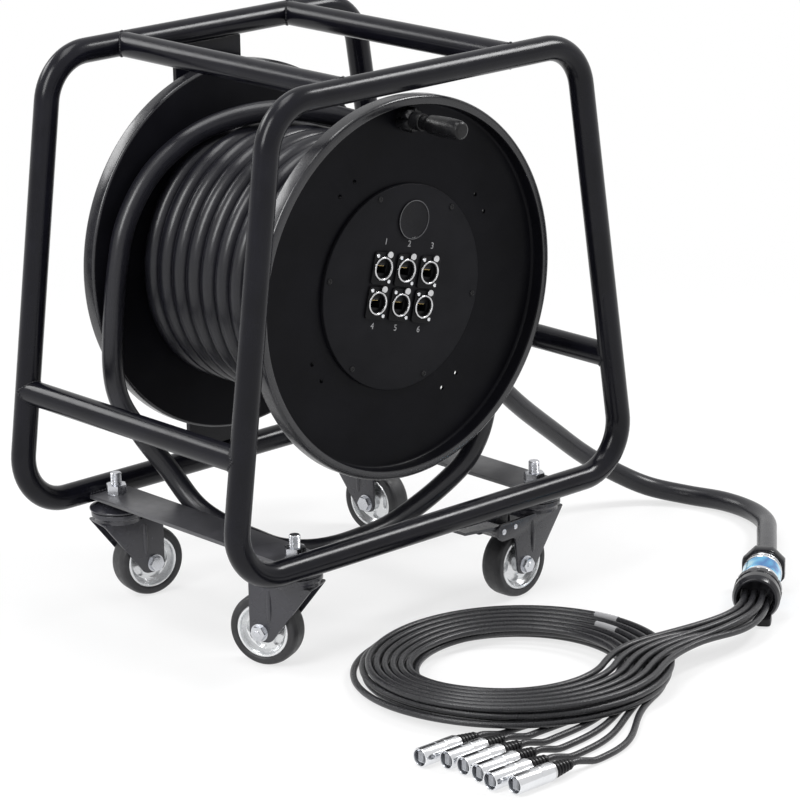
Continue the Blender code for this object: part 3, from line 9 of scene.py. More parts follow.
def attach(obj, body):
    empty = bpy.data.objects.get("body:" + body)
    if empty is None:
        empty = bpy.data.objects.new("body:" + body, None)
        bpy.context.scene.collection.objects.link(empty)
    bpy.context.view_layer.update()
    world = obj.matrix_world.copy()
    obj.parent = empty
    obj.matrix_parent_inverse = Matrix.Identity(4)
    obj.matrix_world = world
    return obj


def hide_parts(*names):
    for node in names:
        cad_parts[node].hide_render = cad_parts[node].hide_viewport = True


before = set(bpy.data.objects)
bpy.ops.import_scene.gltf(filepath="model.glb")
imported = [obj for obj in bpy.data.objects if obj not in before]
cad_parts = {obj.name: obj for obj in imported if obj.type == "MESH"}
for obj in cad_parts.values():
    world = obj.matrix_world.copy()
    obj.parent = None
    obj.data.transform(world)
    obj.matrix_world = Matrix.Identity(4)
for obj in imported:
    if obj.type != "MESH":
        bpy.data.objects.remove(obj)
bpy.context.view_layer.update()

# Sizes, as in the CAD, in metres
SHIFT = 0.0119              # the CAD's own middle lies this far along Y
AXLE_Z = 0.3443
DRUM_TURN = math.radians(14.5)
DRUM_NEAR = -0.1145
DRUM_FAR = 0.121
HANDLE = 0.1662             # from the axle to the crank's pin
HANDLE_TURN = math.radians(101.5)
TUBE = 0.0125
LOOP_Y = 0.1654
LOOP_LOW, LOOP_HIGH = 0.1125, 0.5623
LOOP_LOW_HALF, LOOP_HIGH_HALF = 0.2609, 0.1974
SIDE_BAR_Z = 0.2326
TOP_BAR_X = 0.108
CASTER_X, CASTER_Y = 0.16, 0.138
CASTERS = {
    "left_far": (-CASTER_X, CASTER_Y, -10.0),
    "left_near": (-CASTER_X, -CASTER_Y, 113.0),
    "right_near": (CASTER_X, -CASTER_Y, 183.0),
    "right_far": (CASTER_X, CASTER_Y, -84.0),
}
CABLE = 0.0105
WINDING = 0.1255
WINDING_TURNS = 9.72
STRAND = 0.00325
HEADING = math.radians(217.5)
MOUTH = Vector((0.237, -0.371, 0.024))
COUPLING = 0.1066
FLIP = Matrix(((1, 0, 0, 0), (0, 0, 1, 0), (0, 1, 0, 0), (0, 0, 0, 1)))
MIRROR = Matrix.Scale(-1, 4, (0, 0, 1))
FRONT = FLIP @ MIRROR       # stands a shape that is built along Z on the drum's near face
BASE = Matrix.Translation((0, SHIFT, 0))
AXLE = BASE @ Matrix.Translation((0, 0, AXLE_Z))
DRUM = AXLE @ Matrix.Rotation(DRUM_TURN, 4, "Y")
TAU = 2 * math.pi


# Mesh tools

def at(x, y=0.0, z=0.0):
    return Matrix.Translation((x, y, z))


def put(name, data):
    """A new object in the scene."""
    obj = bpy.data.objects.new(name, data)
    bpy.context.scene.collection.objects.link(obj)
    return obj


def mesh_of(name, shape):
    """A shape as a mesh; the shape itself is used up."""
    mesh = bpy.data.meshes.new(name)
    shape.to_mesh(mesh)
    shape.free()
    return mesh


def round_points(radius, count, turn=0.0):
    """Points round a circle, turned on by a share of their step."""
    angles = [TAU * (k + turn) / count for k in range(count)]
    return [(radius * math.cos(t), radius * math.sin(t)) for t in angles]


def lathe(profile, sides, matrix=Matrix(), shape=None):
    """Turn (radius, height) points about Z; a profile that starts off the axis is a ring."""
    shape = shape or bmesh.new()
    rings = []
    for radius, height in profile:
        if radius < 1e-6:
            rings.append([shape.verts.new(matrix @ Vector((0, 0, height)))])
            continue
        spots = [Vector((x, y, height)) for x, y in round_points(radius, sides)]
        rings.append([shape.verts.new(matrix @ spot) for spot in spots])
    pairs = list(zip(rings, rings[1:]))
    if len(rings[0]) > 1 and len(rings[-1]) > 1:
        pairs.append((rings[-1], rings[0]))
    for one, two in pairs:
        for k in range(sides):
            n = (k + 1) % sides
            loop = [one[k % len(one)], one[n % len(one)], two[n % len(two)], two[k % len(two)]]
            loop = list(dict.fromkeys(loop))
            if len(loop) > 2:
                shape.faces.new(loop)
    return shape


def ring(inner, outer, low, high, sides, matrix=Matrix(), shape=None):
    return lathe([(inner, low), (outer, low), (outer, high), (inner, high)], sides, matrix, shape)


def cylinder(radius, low, high, sides, matrix=Matrix(), shape=None):
    return ring(0, radius, low, high, sides, matrix, shape)


def prism(outline, low, high, matrix=Matrix(), bevel=0.0, shape=None):
    """Extrude an outline along Z, with its edges rounded over."""
    own = bmesh.new()
    ends = [[own.verts.new((x, y, h)) for x, y in outline] for h in (low, high)]
    own.faces.new(ends[0])
    own.faces.new(ends[1])
    for k in range(len(outline)):
        n = (k + 1) % len(outline)
        own.faces.new((ends[0][k], ends[0][n], ends[1][n], ends[1][k]))
    bmesh.ops.recalc_face_normals(own, faces=own.faces)
    if bevel:
        edges = [e for e in own.edges if e.calc_face_angle(0) > 0.6]
        bmesh.ops.bevel(own, geom=edges, offset=bevel, segments=2, profile=0.6, affect="EDGES")
    own.transform(matrix)
    if shape is None:
        return own
    return join(shape, own)


def join(shape, *others):
    for other in others:
        mesh = mesh_of("part", other)
        shape.from_mesh(mesh)
        bpy.data.meshes.remove(mesh)
    return shape


def fillet(corners, radii, steps=6, closed=True):
    """Round a polyline's corners in 2-D."""
    points = []
    count = len(corners)
    for k, (corner, radius) in enumerate(zip(corners, radii)):
        here = Vector(corner)
        if radius <= 0 or (not closed and k in (0, count - 1)):
            points.append(tuple(here))
            continue
        back = (Vector(corners[k - 1]) - here).normalized()
        ahead = (Vector(corners[(k + 1) % count]) - here).normalized()
        half = back.angle(ahead) / 2
        centre = here + (back + ahead).normalized() * radius / math.sin(half)
        start = here + back * radius / math.tan(half) - centre
        end = here + ahead * radius / math.tan(half) - centre
        sweep_angle = start.angle(end)
        for step in range(steps + 1):
            t = step / steps
            weight = math.sin(sweep_angle)
            arm = (start * math.sin((1 - t) * sweep_angle) + end * math.sin(t * sweep_angle)) / weight
            points.append(tuple(centre + arm))
    return points


def turned(corners, radii, steps, sides, matrix=Matrix(), shape=None):
    """A turned shape with rounded corners."""
    rounded = fillet(corners, radii, steps, closed=corners[0][0] > 0)
    return lathe(rounded, sides, matrix, shape)


def rect(width, height, x=0.0, y=0.0):
    w, h = width / 2, height / 2
    return [(x - w, y - h), (x + w, y - h), (x + w, y + h), (x - w, y + h)]


def nut(flats, low, high, matrix, bore=0.0):
    """A hexagon with its corners turned off in a cone at the outer end."""
    body = prism(round_points(flats / math.sqrt(3), 6), low, high)
    shoulder, crown = flats * 0.14, flats * 0.47
    cone = lathe([(0, low - 1), (flats, low - 1), (flats, high - shoulder), (crown, high), (0, high)], 48)
    body = carve(body, [cone], "INTERSECT")
    if bore:
        body = carve(body, [cylinder(bore, low - 1, high + 1, 24)])
    body.transform(matrix)
    return body


def evaluated(obj):
    """An object's mesh with its modifiers applied."""
    return obj.evaluated_get(bpy.context.evaluated_depsgraph_get()).to_mesh()


def carve(base, tools, operation="DIFFERENCE"):
    """Cut closed shapes out of another."""
    objects = []
    for shape in (base, *tools):
        bmesh.ops.recalc_face_normals(shape, faces=shape.faces)
        objects.append(put("cut", mesh_of("cut", shape)))
    for tool in objects[1:]:
        modifier = objects[0].modifiers.new("cut", "BOOLEAN")
        modifier.operation = operation
        modifier.solver = "EXACT"
        modifier.object = tool
    result = bmesh.new()
    result.from_mesh(evaluated(objects[0]))
    for obj in objects:
        mesh = obj.data
        bpy.data.objects.remove(obj)
        bpy.data.meshes.remove(mesh)
    return result


def sweep(points, radius, sides=16, closed=False, shape=None):
    """A tube along points, with its length in V and its girth in U."""
    shape = shape or bmesh.new()
    uv = shape.loops.layers.uv.verify()
    points = [Vector(p) for p in points]
    count = len(points)
    radii = [radius] * count if isinstance(radius, (int, float)) else radius
    ways = []
    for k in range(count):
        before = points[k - 1] if k or closed else points[0]
        after = points[(k + 1) % count] if k < count - 1 or closed else points[-1]
        ways.append((after - before).normalized())
    side = ways[0].orthogonal().normalized()
    rings, marks, length = [], [], 0.0
    for k, (point, way) in enumerate(zip(points, ways)):
        side = (side - way * side.dot(way)).normalized()
        across = way.cross(side)
        length += (point - points[k - 1]).length if k else 0.0
        marks.append(length)
        spots = [side * x + across * y for x, y in round_points(radii[k], sides)]
        rings.append([shape.verts.new(point + spot) for spot in spots])
    if closed:
        first = min(range(sides), key=lambda n: (rings[0][n].co - rings[-1][0].co).length)
        rings.append(rings[0][first:] + rings[0][:first])
        marks.append(length + (points[0] - points[-1]).length)
    for one, two, low, high in zip(rings, rings[1:], marks, marks[1:]):
        for n in range(sides):
            m = (n + 1) % sides
            face = shape.faces.new((one[n], one[m], two[m], two[n]))
            spots = ((n, low), (n + 1, low), (n + 1, high), (n, high))
            for loop, (u, v) in zip(face.loops, spots):
                loop[uv].uv = (u / sides, v)
    if not closed:
        for end in (rings[0], rings[-1]):
            face = shape.faces.new(end)
            for loop in face.loops:
                loop[uv].uv = (0.0, 0.0)
    return shape


def smooth(route, spacing):
    """Points at a steady spacing along a smooth curve through the route's points."""
    knots = [Vector(p) for p in route]
    knots = [2 * knots[0] - knots[1]] + knots + [2 * knots[-1] - knots[-2]]
    fine = []
    for before, start, end, after in zip(knots, knots[1:], knots[2:], knots[3:]):
        chord = (end - start).length
        into = (end - before).normalized() * chord
        out = (after - start).normalized() * chord
        pieces = max(2, round(chord / (spacing / 3)))
        for step in range(pieces):
            t = step / pieces
            fine.append(start * (2 * t**3 - 3 * t**2 + 1) + into * (t**3 - 2 * t**2 + t)
                        + end * (3 * t**2 - 2 * t**3) + out * (t**3 - t**2))
    fine.append(knots[-2])
    lengths = [0.0]
    for one, two in zip(fine, fine[1:]):
        lengths.append(lengths[-1] + (two - one).length)
    count = max(2, round(lengths[-1] / spacing))
    points, k = [], 0
    for step in range(count + 1):
        mark = lengths[-1] * step / count
        while k < len(fine) - 2 and lengths[k + 1] < mark:
            k += 1
        share = (mark - lengths[k]) / max(1e-9, lengths[k + 1] - lengths[k])
        points.append(fine[k].lerp(fine[k + 1], min(1.0, max(0.0, share))))
    return points


# Materials

def plug(tree, value, socket):
    """Set an input to a plain value, or link it to another node's output."""
    if isinstance(value, bpy.types.NodeSocket):
        tree.links.new(value, socket)
    else:
        socket.default_value = value


def add_node(tree, kind, output, inputs, **settings):
    """Add a node with its settings and inputs, and give back one of its outputs."""
    node = tree.nodes.new("ShaderNode" + kind)
    for name, value in settings.items():
        setattr(node, name, value)
    for name, value in inputs.items():
        plug(tree, value, node.inputs[name])
    return node.outputs[output]


def maths(tree, operation, *values):
    return add_node(tree, "Math", "Value", dict(enumerate(values)), operation=operation)


def graph(name, colour, rough, metal=0.0, coat=0.0, shine=0.5):
    """A new material, with its node tree and its surface shader."""
    mat = bpy.data.materials.new(name)
    mat.use_nodes = True
    shader = mat.node_tree.nodes["Principled BSDF"]
    shader.inputs["Base Color"].default_value = (*colour, 1)
    shader.inputs["Roughness"].default_value = rough
    shader.inputs["Metallic"].default_value = metal
    shader.inputs["Coat Weight"].default_value = coat
    shader.inputs["Coat Roughness"].default_value = 0.1
    shader.inputs["Specular IOR Level"].default_value = shine
    return mat, mat.node_tree, shader


def speckle(tree, scale, detail=3.0, stretch=(1, 1, 1), uv=False):
    """Noise over the object's own coordinates."""
    coords = add_node(tree, "TexCoord", "UV" if uv else "Object", {})
    mapping = add_node(tree, "Mapping", "Vector", {"Scale": stretch, "Vector": coords})
    return add_node(tree, "TexNoise", "Fac", {"Scale": scale, "Detail": detail, "Vector": mapping})


def ramp(tree, value, stops):
    shade = add_node(tree, "ValToRGB", "Color", {"Fac": value})
    elements = shade.node.color_ramp.elements
    for k, (place, colour) in enumerate(stops):
        element = elements[k] if k < 2 else elements.new(place)
        element.position = place
        element.color = (*colour, 1)
    return shade


def remap(tree, value, low, high, from_low=0.3, from_high=0.7):
    limits = {"From Min": from_low, "From Max": from_high, "To Min": low, "To Max": high}
    return add_node(tree, "MapRange", "Result", {"Value": value, **limits})


def surface(tree, shader, colour, rough, *layers):
    """Link a shader's colour and roughness, and stack (height, strength, distance) bumps under it."""
    if colour:
        plug(tree, colour, shader.inputs["Base Color"])
    plug(tree, rough, shader.inputs["Roughness"])
    inputs = {}
    for height, strength, distance in layers:
        inputs.update(Height=height, Strength=strength, Distance=distance)
        inputs["Normal"] = add_node(tree, "Bump", "Normal", inputs)
    plug(tree, inputs["Normal"], shader.inputs["Normal"])


def finish_of(name, colour, rough, metal=0.0, spread=0.15, patches=35.0, rough_spread=0.06,
              grain=(900.0, 0.15, 0.0001), wave=None, dust=None, shine=0.5):
    """A surface with patchy colour, uneven gloss, fine grain, and dust or wear in its broad patches."""
    mat, tree, shader = graph(name, colour, rough, metal, shine=shine)
    low = [c * (1 - spread) for c in colour]
    high = [min(1.0, c * (1 + spread)) for c in colour]
    stops = [(0.32, low), (0.66, high)]
    if dust:
        stops.append((0.8, dust))
    shade = ramp(tree, speckle(tree, patches, 5.0), stops)
    uneven = remap(tree, speckle(tree, patches * 2.7, 6.0), rough - rough_spread, rough + rough_spread)
    layers = [(speckle(tree, layer[0], 2.0), *layer[1:]) for layer in (grain, wave) if layer]
    surface(tree, shader, shade, uneven, *layers)
    return mat


POWDER = finish_of("powder_coat", (0.005, 0.005, 0.008), 0.21, spread=0.25, patches=28.0,
                   rough_spread=0.04, grain=(1400.0, 0.08, 0.00005), wave=(260.0, 0.05, 0.0001),
                   dust=(0.009, 0.009, 0.011), shine=0.22)
DISC = finish_of("disc_coat", (0.0045, 0.0045, 0.0062), 0.38, spread=0.25, patches=16.0,
                 rough_spread=0.06, grain=(1500.0, 0.2, 0.00008), wave=(200.0, 0.08, 0.0001),
                 dust=(0.0075, 0.0075, 0.0095), shine=0.07)
RIM = finish_of("disc_rim", (0.016, 0.016, 0.019), 0.25, spread=0.25, patches=30.0, rough_spread=0.06,
                grain=(1500.0, 0.12, 0.00006), wave=(200.0, 0.06, 0.0001), dust=(0.015, 0.015, 0.018),
                shine=0.6)
PANEL = finish_of("panel_plastic", (0.008, 0.008, 0.01), 0.5, spread=0.18, patches=22.0,
                  rough_spread=0.05, grain=(2200.0, 0.35, 0.00008), dust=(0.012, 0.012, 0.015),
                  shine=0.1)
FORGED = finish_of("caster_coat", (0.026, 0.026, 0.033), 0.27, spread=0.1, patches=25.0,
                   rough_spread=0.03, grain=(1500.0, 0.03, 0.00002), dust=(0.031, 0.031, 0.039),
                   shine=0.7)
BAR = finish_of("bar_coat", (0.045, 0.045, 0.051), 0.38, spread=0.15, patches=30.0, rough_spread=0.05,
                grain=(1500.0, 0.08, 0.00005), dust=(0.06, 0.06, 0.066), shine=1.0)
MOULDED = finish_of("moulded_plastic", (0.008, 0.008, 0.009), 0.3, spread=0.2, patches=80.0,
                    rough_spread=0.06, grain=(1800.0, 0.16, 0.00005), shine=0.26)
RUBBER = finish_of("tyre_rubber", (0.022, 0.022, 0.024), 0.48, spread=0.3, patches=90.0,
                   rough_spread=0.1, grain=(1500.0, 0.35, 0.0001), wave=(220.0, 0.2, 0.0002),
                   dust=(0.055, 0.054, 0.052))
HUB = finish_of("hub_alloy", (0.8, 0.81, 0.82), 0.24, 0.75, spread=0.03, patches=40.0,
                rough_spread=0.03, grain=(1800.0, 0.04, 0.00003), dust=(0.74, 0.74, 0.75))
ZINC = finish_of("zinc_plate", (0.6, 0.61, 0.64), 0.26, 1.0, spread=0.05, patches=90.0,
                 rough_spread=0.04, grain=(2600.0, 0.04, 0.00003), dust=(0.52, 0.53, 0.56))
CHROME = finish_of("chrome", (0.8, 0.81, 0.83), 0.15, 1.0, spread=0.04, patches=60.0, rough_spread=0.03,
                   grain=(2600.0, 0.04, 0.00002))
SATIN = finish_of("satin_nickel", (0.6, 0.6, 0.61), 0.24, 1.0, spread=0.1, patches=190.0,
                  rough_spread=0.08, grain=(2600.0, 0.12, 0.00004))
BUSH = finish_of("bush_plastic", (0.72, 0.71, 0.67), 0.45, spread=0.08, grain=(1600.0, 0.2, 0.00006))
INSERT = finish_of("plug_insert", (0.3, 0.31, 0.33), 0.42, 0.3, spread=0.15, patches=300.0)
GLOSS = finish_of("gloss_black", (0.009, 0.009, 0.011), 0.2, spread=0.2, patches=90.0,
                  rough_spread=0.04, grain=(1200.0, 0.05, 0.00005), shine=0.34)
SOCKET = finish_of("socket_black", (0.007, 0.007, 0.008), 0.4, spread=0.2, patches=120.0,
                   rough_spread=0.06, grain=(2000.0, 0.12, 0.00005), dust=(0.01, 0.01, 0.012),
                   shine=0.12)
BADGE = finish_of("badge_black", (0.006, 0.006, 0.008), 0.22, spread=0.2, patches=60.0,
                  rough_spread=0.04, grain=(1800.0, 0.05, 0.00004), dust=(0.009, 0.009, 0.011),
                  shine=0.16)
EDGE = finish_of("badge_edge", (0.1, 0.1, 0.105), 0.35, 0.6, spread=0.15, patches=120.0)
SLATE = finish_of("coupling_grey", (0.013, 0.013, 0.016), 0.18, spread=0.2, patches=90.0,
                  rough_spread=0.06, grain=(1500.0, 0.08, 0.00005), shine=0.34)
PRINT = finish_of("print_grey", (0.34, 0.34, 0.35), 0.5, spread=0.1, patches=300.0)
GOLD = finish_of("contact_gold", (0.85, 0.62, 0.25), 0.25, 1.0, spread=0.08, patches=400.0)


def jacket(name, colour, rough, streak):
    """Extruded cable jacket: fine grain, long faint streaks and soft scuffs."""
    mat, tree, shader = graph(name, colour, rough, shine=0.42)
    low = [c * 0.72 for c in colour]
    high = [c * 1.35 for c in colour]
    worn = ramp(tree, speckle(tree, 24.0, 6.0), [(0.3, low), (0.62, colour), (0.8, high)])
    lines = speckle(tree, 9.0, 4.0, (streak, 6.0, 1.0), uv=True)
    grain = speckle(tree, 1500.0, 2.0)
    dents = speckle(tree, 70.0, 2.0)
    surface(tree, shader, worn, remap(tree, lines, rough - 0.07, rough + 0.08),
            (grain, 0.2, 0.00008), (lines, 0.12, 0.0001), (dents, 0.22, 0.0004))
    return mat


def braid(name, colour, edge, around, along):
    """A braided sleeve: two families of strands crossing round the cord, with painted shade in the weave's
    low spots and a painted highlight on its crests.
    """
    mat, tree, shader = graph(name, colour, 0.4, shine=0.5)
    coords = add_node(tree, "TexCoord", "UV", {})
    u, v = (maths(tree, "MULTIPLY", add_node(tree, "SeparateXYZ", axis, {"Vector": coords}), count * TAU)
            for axis, count in (("X", around), ("Y", along)))
    one = maths(tree, "SINE", maths(tree, "ADD", u, v))
    two = maths(tree, "SINE", maths(tree, "SUBTRACT", u, v))
    check = maths(tree, "MULTIPLY", maths(tree, "MULTIPLY", one, two), 0.5)
    over = maths(tree, "MAXIMUM", maths(tree, "ABSOLUTE", one), maths(tree, "ABSOLUTE", two))
    height = maths(tree, "ADD", maths(tree, "MULTIPLY", over, 0.5), check)
    # The colour follows the weave's relief: darker in its low spots as painted shade, and the edge colour
    # on its crests as a painted highlight.
    shade = ramp(tree, maths(tree, "ADD", check, 0.5),
                 [(0.15, [c * 0.35 for c in colour]), (0.6, colour), (1.0, edge)])
    fuzz = speckle(tree, 500.0, 4.0)
    worn = ramp(tree, fuzz, [(0.3, (0.5, 0.5, 0.5)), (0.7, (1.0, 1.0, 1.0))])
    mixed = add_node(tree, "Mix", "Result", {"Factor": 0.5, "A": shade, "B": worn},
                     data_type="RGBA", blend_type="MULTIPLY")
    surface(tree, shader, mixed, remap(tree, fuzz, 0.24, 0.38),
            (height, 0.3, 0.0003), (fuzz, 0.15, 0.0001))
    return mat


def blue_chrome():
    """Blue lacquer over chrome, with painted reflections: pale and deep blue patches of noise in its
    colour.
    """
    mat, tree, shader = graph("blue_chrome", (0.1, 0.45, 0.8), 0.16, 0.6, 0.2)
    cloud = speckle(tree, 34.0, 1.0, (1.0, 1.0, 2.4))
    # Painted reflection: the pale and deep patches stand in for what the chrome reflects.
    stops = [(0.36, (0.42, 0.76, 0.88)), (0.46, (0.07, 0.45, 0.78)), (0.55, (0.004, 0.15, 0.46)),
             (0.66, (0.04, 0.36, 0.7))]
    fine = speckle(tree, 900.0, 3.0)
    surface(tree, shader, ramp(tree, cloud, stops), remap(tree, fine, 0.12, 0.22),
            (cloud, 0.15, 0.0006), (fine, 0.05, 0.00004))
    return mat


def clear_sleeve():
    mat, tree, shader = graph("clear_sleeve", (0.8, 0.8, 0.82), 0.25)
    shader.inputs["Alpha"].default_value = 0.45
    cloud = speckle(tree, 220.0, 4.0)
    surface(tree, shader, None, remap(tree, cloud, 0.16, 0.34), (cloud, 0.2, 0.0002))
    return mat


JACKET = jacket("cable_jacket", (0.011, 0.011, 0.015), 0.29, 40.0)
# The second colour is the painted highlight on the weave's crests.
BRAID = braid("braided_sleeve", (0.017, 0.017, 0.02), (0.065, 0.065, 0.072), 10, 360.0)
BLUE = blue_chrome()
CLEAR = clear_sleeve()


def piece(name, shape, material, body, hides=(), sharp=32.0):
    """Turn a shape into a finished piece that rides on a body."""
    bmesh.ops.remove_doubles(shape, verts=shape.verts, dist=1e-6)
    bmesh.ops.recalc_face_normals(shape, faces=shape.faces)
    mesh = mesh_of(name, shape)
    mesh.shade_smooth()
    mesh.set_sharp_from_angle(angle=math.radians(sharp))
    obj = put(name, mesh)
    mesh.materials.append(material)
    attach(obj, body)
    if hides:
        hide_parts(*hides)
    return obj


def dress(node, material):
    """Give a CAD node that stays a better material."""
    obj = bpy.data.objects[node]
    if obj.material_slots:
        for slot in obj.material_slots:
            slot.material = material
    else:
        obj.data.materials.append(material)


# Camera at the photograph's angle

AZIMUTH = math.radians(-42.049)
ELEVATION = math.radians(16.887)
ROLL = math.radians(-1.204)
CAMERA_PLACE = (-2.3287, -2.697 + SHIFT, 1.2843)
FOCAL_PIXELS = 3705
FRAME_PIXELS = 800
SENSOR = 36


def add_camera():
    flat = math.cos(ELEVATION)
    back = Vector((math.sin(AZIMUTH) * flat, -math.cos(AZIMUTH) * flat, math.sin(ELEVATION)))
    right = Vector((math.cos(AZIMUTH), math.sin(AZIMUTH), 0.0))
    up = back.cross(right)
    rolled_right = right * math.cos(ROLL) + up * math.sin(ROLL)
    rolled_up = up * math.cos(ROLL) - right * math.sin(ROLL)
    data = bpy.data.cameras.new("camera")
    data.lens = FOCAL_PIXELS * SENSOR / FRAME_PIXELS
    data.sensor_width = SENSOR
    data.clip_end = 50
    camera = put("camera", data)
    turn = Matrix((rolled_right, rolled_up, back)).transposed().to_4x4()
    camera.matrix_world = Matrix.Translation(CAMERA_PLACE) @ turn
    bpy.context.scene.camera = camera


add_camera()


# Cords

SEAT_GAP = 0.0003               # between a cord's end and what holds it
CABLE_STEP, CABLE_SIDES = 0.006, 28
STRAND_RUN, STRAND_SIDES = 0.0045, 14

# Middle of the free cable, from the winding's end to the coupling
FREE_ROUTE = [
    (0.1255, -0.103, 0.323), (0.1255, -0.103, 0.302), (0.13, -0.103, 0.25),
    (0.131, -0.102, 0.205), (0.118, -0.1, 0.16), (0.087, -0.1, 0.131),
    (0.005, -0.1, 0.099), (-0.045, -0.1, 0.093), (-0.093, -0.096, 0.093),
    (-0.118, -0.072, 0.0935), (-0.12, -0.03, 0.094), (-0.12, 0.015, 0.097),
    (-0.124, 0.055, 0.11), (-0.132, 0.087, 0.143), (-0.152, 0.103, 0.18),
    (-0.176, 0.1075, 0.225), (-0.18, 0.108, 0.275), (-0.165, 0.107, 0.378),
    (-0.142, 0.1065, 0.423), (-0.106, 0.105, 0.456), (-0.058, 0.095, 0.48),
    (-0.006, 0.062, 0.493), (0.042, 0.025, 0.4865), (0.09, 0.0, 0.464),
    (0.133, -0.013, 0.415), (0.15, -0.018, 0.35), (0.162, -0.02, 0.285),
    (0.192, -0.02, 0.218), (0.236, -0.02, 0.164), (0.324, -0.011, 0.094),
    (0.362, -0.01, 0.065), (0.4, -0.016, 0.039), (0.433, -0.034, 0.019),
    (0.458, -0.068, 0.011), (0.47, -0.112, 0.0108), (0.466, -0.155, 0.0112),
    (0.445, -0.195, 0.0135), (0.41, -0.229, 0.018),
]

# The coil's layers, from the floor up, and how its strands lie beside each other
COIL_CENTRES = [(-0.039, -0.304), (-0.035, -0.309), (-0.031, -0.313), (-0.035, -0.311)]
COIL_RADII = [0.15, 0.1475, 0.144, 0.143]
LAYER_RISE = 0.0072
STRAND_STEP = 0.0072
STRAND_SLACK = 0.004
SLACK_AT, SLACK_TURN = 100, 70
DROP_AT, DROP_SPAN = 60, 110
FLOOR_GAP = 0.00015
COIL_START, COIL_STEP, COIL_COUNT = -390.0, 5.0, 219

# The strands' two rows in the coupling's mouth
ROW_PITCH, ROW_RISE = 0.0088, 0.004
MOUTH_DEPTH, MOUTH_RUN = 0.012, 0.016
REACH = 0.45

PLUG_FRONTS = [(-0.234, -0.514), (-0.243, -0.4925), (-0.238, -0.4715),
               (-0.236, -0.4505), (-0.237, -0.4295), (-0.25, -0.4085)]
PLUG_LENGTH = 0.071
PLUG_Z = 0.0095
PLUG_RUN = 0.03


def coupling_point(along, across=0.0, up=0.0):
    way = Vector((math.cos(HEADING), math.sin(HEADING), 0.0))
    side = Vector((-way.y, way.x, 0.0))
    return MOUTH + way * (along - COUPLING) + side * across + Vector((0.0, SHIFT, up))


def add_free_cable():
    route = [Vector(p) + Vector((0, SHIFT, 0)) for p in FREE_ROUTE]
    route += [coupling_point(-2 * CABLE - SEAT_GAP), coupling_point(-SEAT_GAP)]
    path = smooth(route, CABLE_STEP)
    tube = sweep(path, CABLE, CABLE_SIDES)
    return piece("free_cable_jacket", tube, JACKET, "frame", ["free_cable"]), path


def ease(share):
    share = min(1.0, max(0.0, share))
    return share * share * (3 - 2 * share)


def coil_point(strand, travel):
    """A strand's centre after some degrees round the coil, clockwise from its near side."""
    dropped = math.floor((travel - DROP_AT) / 360)
    share = ease((travel - DROP_AT - 360 * dropped) / DROP_SPAN)
    upper, lower = min(3, 2 - dropped), max(0, 1 - dropped)
    centre = Vector(COIL_CENTRES[upper]).lerp(Vector(COIL_CENTRES[lower]), share)
    level = upper + (lower - upper) * share
    loose = 0.5 + 0.5 * math.cos(math.radians(travel - SLACK_AT - SLACK_TURN * level))
    radius = COIL_RADII[upper] + (COIL_RADII[lower] - COIL_RADII[upper]) * share
    radius -= strand * (STRAND_STEP + STRAND_SLACK * loose)
    turn = math.radians(-90 - travel)
    height = STRAND + FLOOR_GAP + level * LAYER_RISE
    return Vector((centre.x + radius * math.cos(turn), centre.y + SHIFT + radius * math.sin(turn), height))


def bezier(start, start_way, end, end_way, count):
    """A cubic curve between two points, which changes its height in its middle stretch."""
    points = []
    for step in range(1, count):
        t = step / count
        u = 1 - t
        first, second = start + start_way, end - end_way
        point = start * u**3 + first * 3 * u * u * t + second * 3 * u * t * t + end * t**3
        point.z = start.z + (end.z - start.z) * ease((t - 0.25) / 0.43)
        points.append(point)
    return points


def strand_path(strand):
    """One data cable: out of the coupling, round the coil, into its plug."""
    way = Vector((math.cos(HEADING), math.sin(HEADING), 0.0))
    side = 1 if strand % 2 else -1
    across = (strand // 2 - 1 + side / 4) * ROW_PITCH
    start = coupling_point(COUPLING - MOUTH_DEPTH + SEAT_GAP, -across, side * ROW_RISE)
    leave = start + way * MOUTH_RUN
    coil = [coil_point(strand, COIL_START + COIL_STEP * k) for k in range(COIL_COUNT)]
    run_in = (coil[1] - coil[0]).normalized()
    run_out = (coil[-1] - coil[-2]).normalized()
    reach_in = REACH * (coil[0] - leave).length
    x, y = PLUG_FRONTS[strand]
    back = Vector((x + PLUG_LENGTH + SEAT_GAP, y + SHIFT, PLUG_Z))
    left = Vector((-1.0, 0.0, 0.0))
    near = back - left * 2 * STRAND
    low = Vector((back.x + PLUG_RUN, back.y, coil[-1].z))
    reach_out = REACH * (low - coil[-1]).length
    points = [start, leave] + bezier(leave, way * reach_in, coil[0], run_in * reach_in, 12) + coil
    points += bezier(coil[-1], run_out * reach_out, low, left * reach_out, 10)
    points += [low, Vector(((low.x + near.x) / 2, back.y, (low.z + near.z) / 2)), near, back]
    return smooth(points, STRAND_RUN)


def add_strands():
    cords = []
    for number in range(1, 7):
        path = strand_path(number - 1)
        tube = sweep(path, STRAND, STRAND_SIDES)
        cord = piece(f"braided_cable_{number}", tube, BRAID, "frame", [f"data_cable_{number}"])
        cords.append((cord, path))
    return cords


free_cable = add_free_cable()
strands = add_strands()


# Floor and light

FLOOR_HALF, FLOOR_DROP = 14.0, 0.0004
FLOOR_WHITE = (0.92, 0.92, 0.925)
# The floor's own glow grows with the distance from the middle, so shadows show only near the reel
GLOW_LOW, GLOW_HIGH = 0.72, 1.0
GLOW_FROM, GLOW_TO = 0.55, 1.5
WORLD_LIGHT = 0.35


def seen_ray(tree):
    """1 for rays that show the background: from the camera, a gloss or a clear piece."""
    camera, gloss, clear = (add_node(tree, "LightPath", f"Is {kind} Ray", {})
                            for kind in ("Camera", "Glossy", "Transmission"))
    return maths(tree, "MAXIMUM", maths(tree, "MAXIMUM", camera, gloss), clear)


def show_mix(tree, share, one, two, output):
    mixed = add_node(tree, "MixShader", "Shader", {"Fac": share, 1: one, 2: two})
    plug(tree, mixed, tree.nodes[output].inputs["Surface"])


